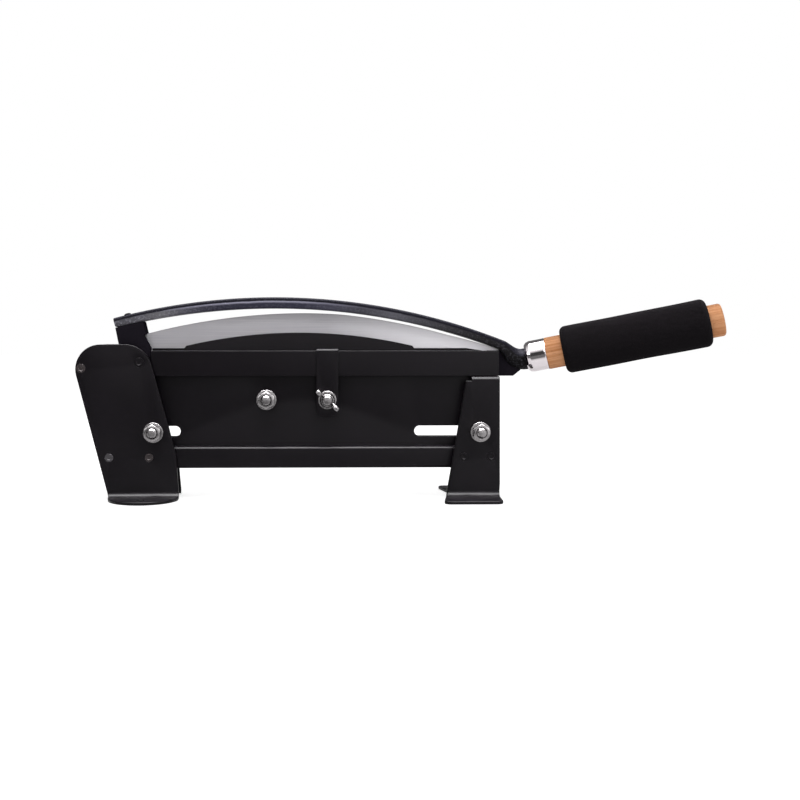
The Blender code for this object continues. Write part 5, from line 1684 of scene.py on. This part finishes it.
@dataclass(frozen=True)
class Blade:
    """Blade with a ground bevel, its tip block and the flush rivets that hold both ends."""

    thickness: float = 2.0
    left: float = -11.0
    tip: float = 308.0
    gap_heel: float = 11.4
    gap_middle: float = 2.3
    gap_tip: float = 0.4
    middle_x: float = 175.0
    closing_x: float = 263.5
    edge_drop: float = 10.2
    belly: float = 4.0
    bevel: float = 5.0
    edge: float = 0.3
    block: float = 7.0
    block_left: float = 297.5
    block_right: float = 320.3
    block_chamfer: float = 7.5
    block_height: float = 22.0
    rivet_radius: float = 2.5
    neck_end: float = 328.8

    def spine(self, x: Array) -> Array:
        """Height of the back: the bar's underside less an air gap that narrows from the heel to the tip.

        Args:
            x: Places along the bed.

        Returns:
            Height at each place.
        """
        heel_share = np.clip((self.middle_x - x) / self.middle_x, 0.0, None)
        tip_share = np.clip((x - self.closing_x) / (self.tip - 8.0 - self.closing_x), 0.0, 1.0)
        gap = self.gap_middle + (self.gap_heel - self.gap_middle) * heel_share ** 1.25
        gap = gap + (self.gap_tip - self.gap_middle) * tip_share
        return Arm().under(x) - gap

    def edge_height(self, x: Array) -> Array:
        """Height of the cutting edge: a shallow parabola that curls up round the pivot.

        Args:
            x: Places along the bed.

        Returns:
            Height at each place.
        """
        middle = self.tip / 2
        share = (x - middle) / middle
        low = LAYERS.pivot_height - self.edge_drop
        return low - self.belly * (1.0 - np.minimum(1.0, share ** 2)) + 1.3 * np.clip(-x, 0.0, None)

    def blade(self) -> Surface:
        """A six-sided section carried along the blade: flat sides, an eased back and two bevels to the edge.

        Returns:
            The closed surface.
        """
        x = np.linspace(self.left, self.tip, 220)
        half, fine = self.thickness / 2, self.edge / 2
        top, edge = self.spine(x), self.edge_height(x)
        bevel = edge + self.bevel
        across = np.array([-half + 0.25, half - 0.25, half, half, fine, -fine, -half, -half])
        height = np.stack([top, top, top - 0.25, bevel, edge, edge, bevel, top - 0.25], axis=1)
        ring = np.stack([x[:, None] + 0 * height, across + 0 * height, height], axis=-1)
        return grid(ring, caps=True)

    def tip_block(self) -> Surface:
        """Block between the blade's tip and the neck; its top follows the underside of both.

        Returns:
            The closed surface.
        """
        arm = Arm()
        share = np.linspace(1.0, 0.0, 25)
        point, way = arm.neck(share)
        reach = arm.grown(arm.right_thickness / 2, share) + LAYERS.touch_gap
        low_x = point[:, 0] + way[:, 2] * reach
        low_z = point[:, 2] - way[:, 0] * reach
        bottom = LAYERS.upper_rail_bottom - LAYERS.touch_gap
        keep = (low_x < self.neck_end) & (low_z > bottom + self.block_chamfer)
        top_z = np.minimum(low_z[keep], bottom + self.block_height)
        outline = rounded_path([
            (self.block_left, bottom, 0.0),
            (self.block_right, bottom, 1.5),
            (self.block_right + self.block_chamfer, bottom + 0.8 * self.block_chamfer, 1.0),
            *zip(low_x[keep], top_z, np.zeros(int(keep.sum()))),
            (self.block_left, bottom + self.block_height, 0.0),
        ])
        half = self.block / 2
        return Plate(outline, -half, half, edge=0.6).surface()

    def rivet(self, x: float, z: float, half: float) -> Surface:
        """Flush rivet, ground level with the block.

        Args:
            x: Axis along the bed.
            z: Height of the axis.
            half: Half its length.

        Returns:
            The closed surface.
        """
        profile = open_profile([
            (0.0, -half, 0.0), (self.rivet_radius, -half, 0.25), (self.rivet_radius, half, 0.25), (0.0, half, 0.0),
        ], 4)
        return turned(profile, across_bed(x, z), 48)

    def build(self) -> None:
        """Make the blade, its tip block and its rivets."""
        make_piece("ground_blade", "blade", self.blade(), BLADE_STEEL, Body.KNIFE, 15.0)
        make_piece("forged_tip_block", "tip_block", self.tip_block(), FORGE_SCALE, Body.KNIFE)
        bottom = LAYERS.upper_rail_bottom - LAYERS.touch_gap
        pivot = LAYERS.pivot_height
        places = [
            ("heel_1", -7.5, pivot + 11.7, HEEL_HALF), ("heel_2", 2.0, pivot + 13.7, HEEL_HALF),
            ("tip_1", self.tip - 5.0, bottom + 6.8, 3.5), ("tip_2", self.tip - 5.0, bottom + 16.8, 3.5),
        ]
        for word, x, z, half in places:
            rivet = self.rivet(x, z, half + 0.03)
            make_piece(f"flush_rivet_{word}", f"blade_rivet_{word}", rivet, FORGE_SCALE, Body.KNIFE)


# Studio

@dataclass(frozen=True)
class PhotoCamera:
    """Camera of the photograph: level, turned a little to the right, its picture's middle shifted."""

    place: Triple = (148.9, -905.0, 140.29)
    yaw: float = 1.3
    lens: float = 47.115
    shift: tuple[float, float] = (0.0766, -0.0825)

    def build(self) -> None:
        """Make the camera and use it."""
        data = bpy.data.cameras.new("photo_camera")
        data.lens = self.lens
        data.sensor_width = 36.0
        data.shift_x, data.shift_y = self.shift
        data.clip_start = 0.01
        camera = bpy.data.objects.new("photo_camera", data)
        camera.location = Vector(self.place) * MM + Vector(ORIGIN)
        camera.rotation_euler = Euler((math.radians(90.0), 0.0, math.radians(-self.yaw)))
        bpy.context.scene.collection.objects.link(camera)
        bpy.context.scene.camera = camera


@dataclass(frozen=True)
class Studio:
    """Pale floor, white surround and soft lamps."""

    floor_half: float = 6.0
    floor_height: float = -0.0003
    fill: float = 0.45
    lamp_glow: float = 30.0
    lamps: tuple[tuple[str, Triple, float, float], ...] = (
        ("overhead_softbox", (0.1, -0.5, 1.5), 1.2, 10.0),
        ("left_softbox", (-1.5, -1.2, 0.9), 1.0, 9.0),
        ("right_softbox", (1.5, -1.3, 0.8), 1.0, 9.0),
    )

    def world(self) -> None:
        """White to camera and glass rays, and a plain level fill to all rays but those of mirrors.

        Shiny pieces see a pale room in front, dark at the left, a dim one at the rear, and a bright lamp overhead.
        """
        world = bpy.data.worlds.new("white_surround")
        bpy.context.scene.world = world
        world.use_nodes = True
        world.node_tree.nodes.clear()
        add = partial(add_node, world.node_tree)
        glossy = add("LightPath", out="Is Glossy Ray")
        way = add("TexCoord", out="Generated")
        x, y, z = (add("SeparateXYZ", {}, {0: way}, name) for name in "XYZ")
        front = add("MapRange", {"From Min": -0.2, "From Max": 0.3, "To Min": 1.3, "To Max": 1.5}, {"Value": x})
        left = add("MapRange", {"From Min": -0.3, "From Max": -0.22, "To Min": 0.04}, {"Value": x})
        above = add("MapRange", {"From Min": 0.35, "From Max": 0.6}, {"Value": z})
        lit = add("Math", {"operation": "MAXIMUM"}, {0: left, 1: above})
        front = add("Math", {"operation": "MULTIPLY"}, {0: front, 1: lit})
        room = add("MapRange", {"From Min": -0.3, "From Max": 0.5, "To Max": 0.15}, {"Value": y, "To Min": front})
        towards = add("VectorMath", {"operation": "DOT_PRODUCT", 1: (0.0, -0.22, 0.975)}, {0: way})
        lamp = add("MapRange", {"From Min": 0.8, "From Max": 0.92, "To Max": self.lamp_glow}, {"Value": towards})
        room = add("Math", {"operation": "ADD"}, {0: room, 1: lamp})
        room = add("Math", {"operation": "MULTIPLY"}, {0: glossy, 1: room})
        plain = add("Math", {"operation": "MULTIPLY_ADD", 1: -self.fill, 2: self.fill}, {0: glossy})
        level = add("Math", {"operation": "MAXIMUM"}, {0: room, 1: plain})
        for kind in ("Camera", "Transmission"):
            level = add("Math", {"operation": "MAXIMUM"}, {0: add("LightPath", out=f"Is {kind} Ray"), 1: level})
        light = add("Background", {"Color": (1.0, 1.0, 1.0, 1.0)}, {"Strength": level})
        add("OutputWorld", {}, {"Surface": light})

    def floor(self) -> None:
        """Pale paper floor that shows white to the camera and still takes the cutter's soft shadow.

        Mirrors see it less bright, and see it fade into the dark of the room far off in front, at the left.
        """
        mesh = bpy.data.meshes.new("paper_floor")
        corners = np.array([(-1.0, -1.0, 0.0), (1.0, -1.0, 0.0), (1.0, 1.0, 0.0), (-1.0, 1.0, 0.0)])
        corners = corners * self.floor_half + np.array([0.0, 0.0, self.floor_height])
        mesh.from_pydata(corners.tolist(), [], [(0, 1, 2, 3)])
        floor = bpy.data.objects.new("paper_floor", mesh)
        bpy.context.scene.collection.objects.link(floor)
        material = bpy.data.materials.new("matt_white_paper")
        material.use_nodes = True
        material.node_tree.nodes.clear()
        add = partial(add_node, material.node_tree)
        camera, glossy = (add("LightPath", out=f"Is {kind} Ray") for kind in ("Camera", "Glossy"))
        direct = add("Math", {"operation": "MAXIMUM"}, {0: camera, 1: glossy})
        place = add("TexCoord", out="Object")
        grain = add("TexNoise", {"Scale": 400.0, "Detail": 2.0}, {"Vector": place})
        tone = add("Mix", {"data_type": "RGBA", 6: linear("#E9E9E9"), 7: linear("#F2F2F2")}, {0: grain})
        paper = add("BsdfDiffuse", {}, {"Color": tone})
        level = add("Math", {"operation": "MULTIPLY_ADD", 1: -0.48, 2: 0.68}, {0: glossy})
        bright = add("AddShader", {}, {0: paper, 1: add("Emission", {}, {"Strength": level})})
        seen = add("MixShader", {}, {0: direct, 1: paper, 2: bright})
        gone = glossy
        for axis, near, far in (("Y", -0.16, -0.32), ("X", 0.14, 0.05)):
            reach = add("SeparateXYZ", {}, {0: place}, axis)
            share = add("MapRange", {"From Min": far, "From Max": near, "To Min": 1.0, "To Max": 0.0},
                        {"Value": reach})
            gone = add("Math", {"operation": "MULTIPLY"}, {0: gone, 1: share})
        seen = add("MixShader", {}, {0: gone, 1: seen, 2: add("Emission", {"Strength": 0.18})})
        add("OutputMaterial", {}, {"Surface": seen})
        mesh.materials.append(material)

    def lights(self) -> None:
        """Square soft lamps, all aimed at the middle of the bed."""
        for name, place, size, power in self.lamps:
            data = bpy.data.lights.new(name, "AREA")
            data.shape = "SQUARE"
            data.size = size
            data.energy = power
            lamp = bpy.data.objects.new(name, data)
            lamp.location = place
            lamp.rotation_euler = (Vector((0.0, 0.0, 0.08)) - lamp.location).to_track_quat("-Z", "Y").to_euler()
            bpy.context.scene.collection.objects.link(lamp)

    def build(self) -> None:
        """Make the studio."""
        self.world()
        self.floor()
        self.lights()
        bpy.context.scene.view_settings.view_transform = "Standard"


def main() -> None:
    """Build the camera, the studio and every piece, and log each part as it is done."""
    logging.basicConfig(level=logging.INFO, format="%(name)s: %(message)s")
    for part in (PhotoCamera(), Studio(), Bed(), Legs(), PinsAndRivets(), Fasteners(), HoldDownStrap(), WingNut(),
                 Arm(), Blade(), Handle()):
        part.build()
        log.info("%s is done", type(part).__name__)


if __name__ == "__main__":
    main()
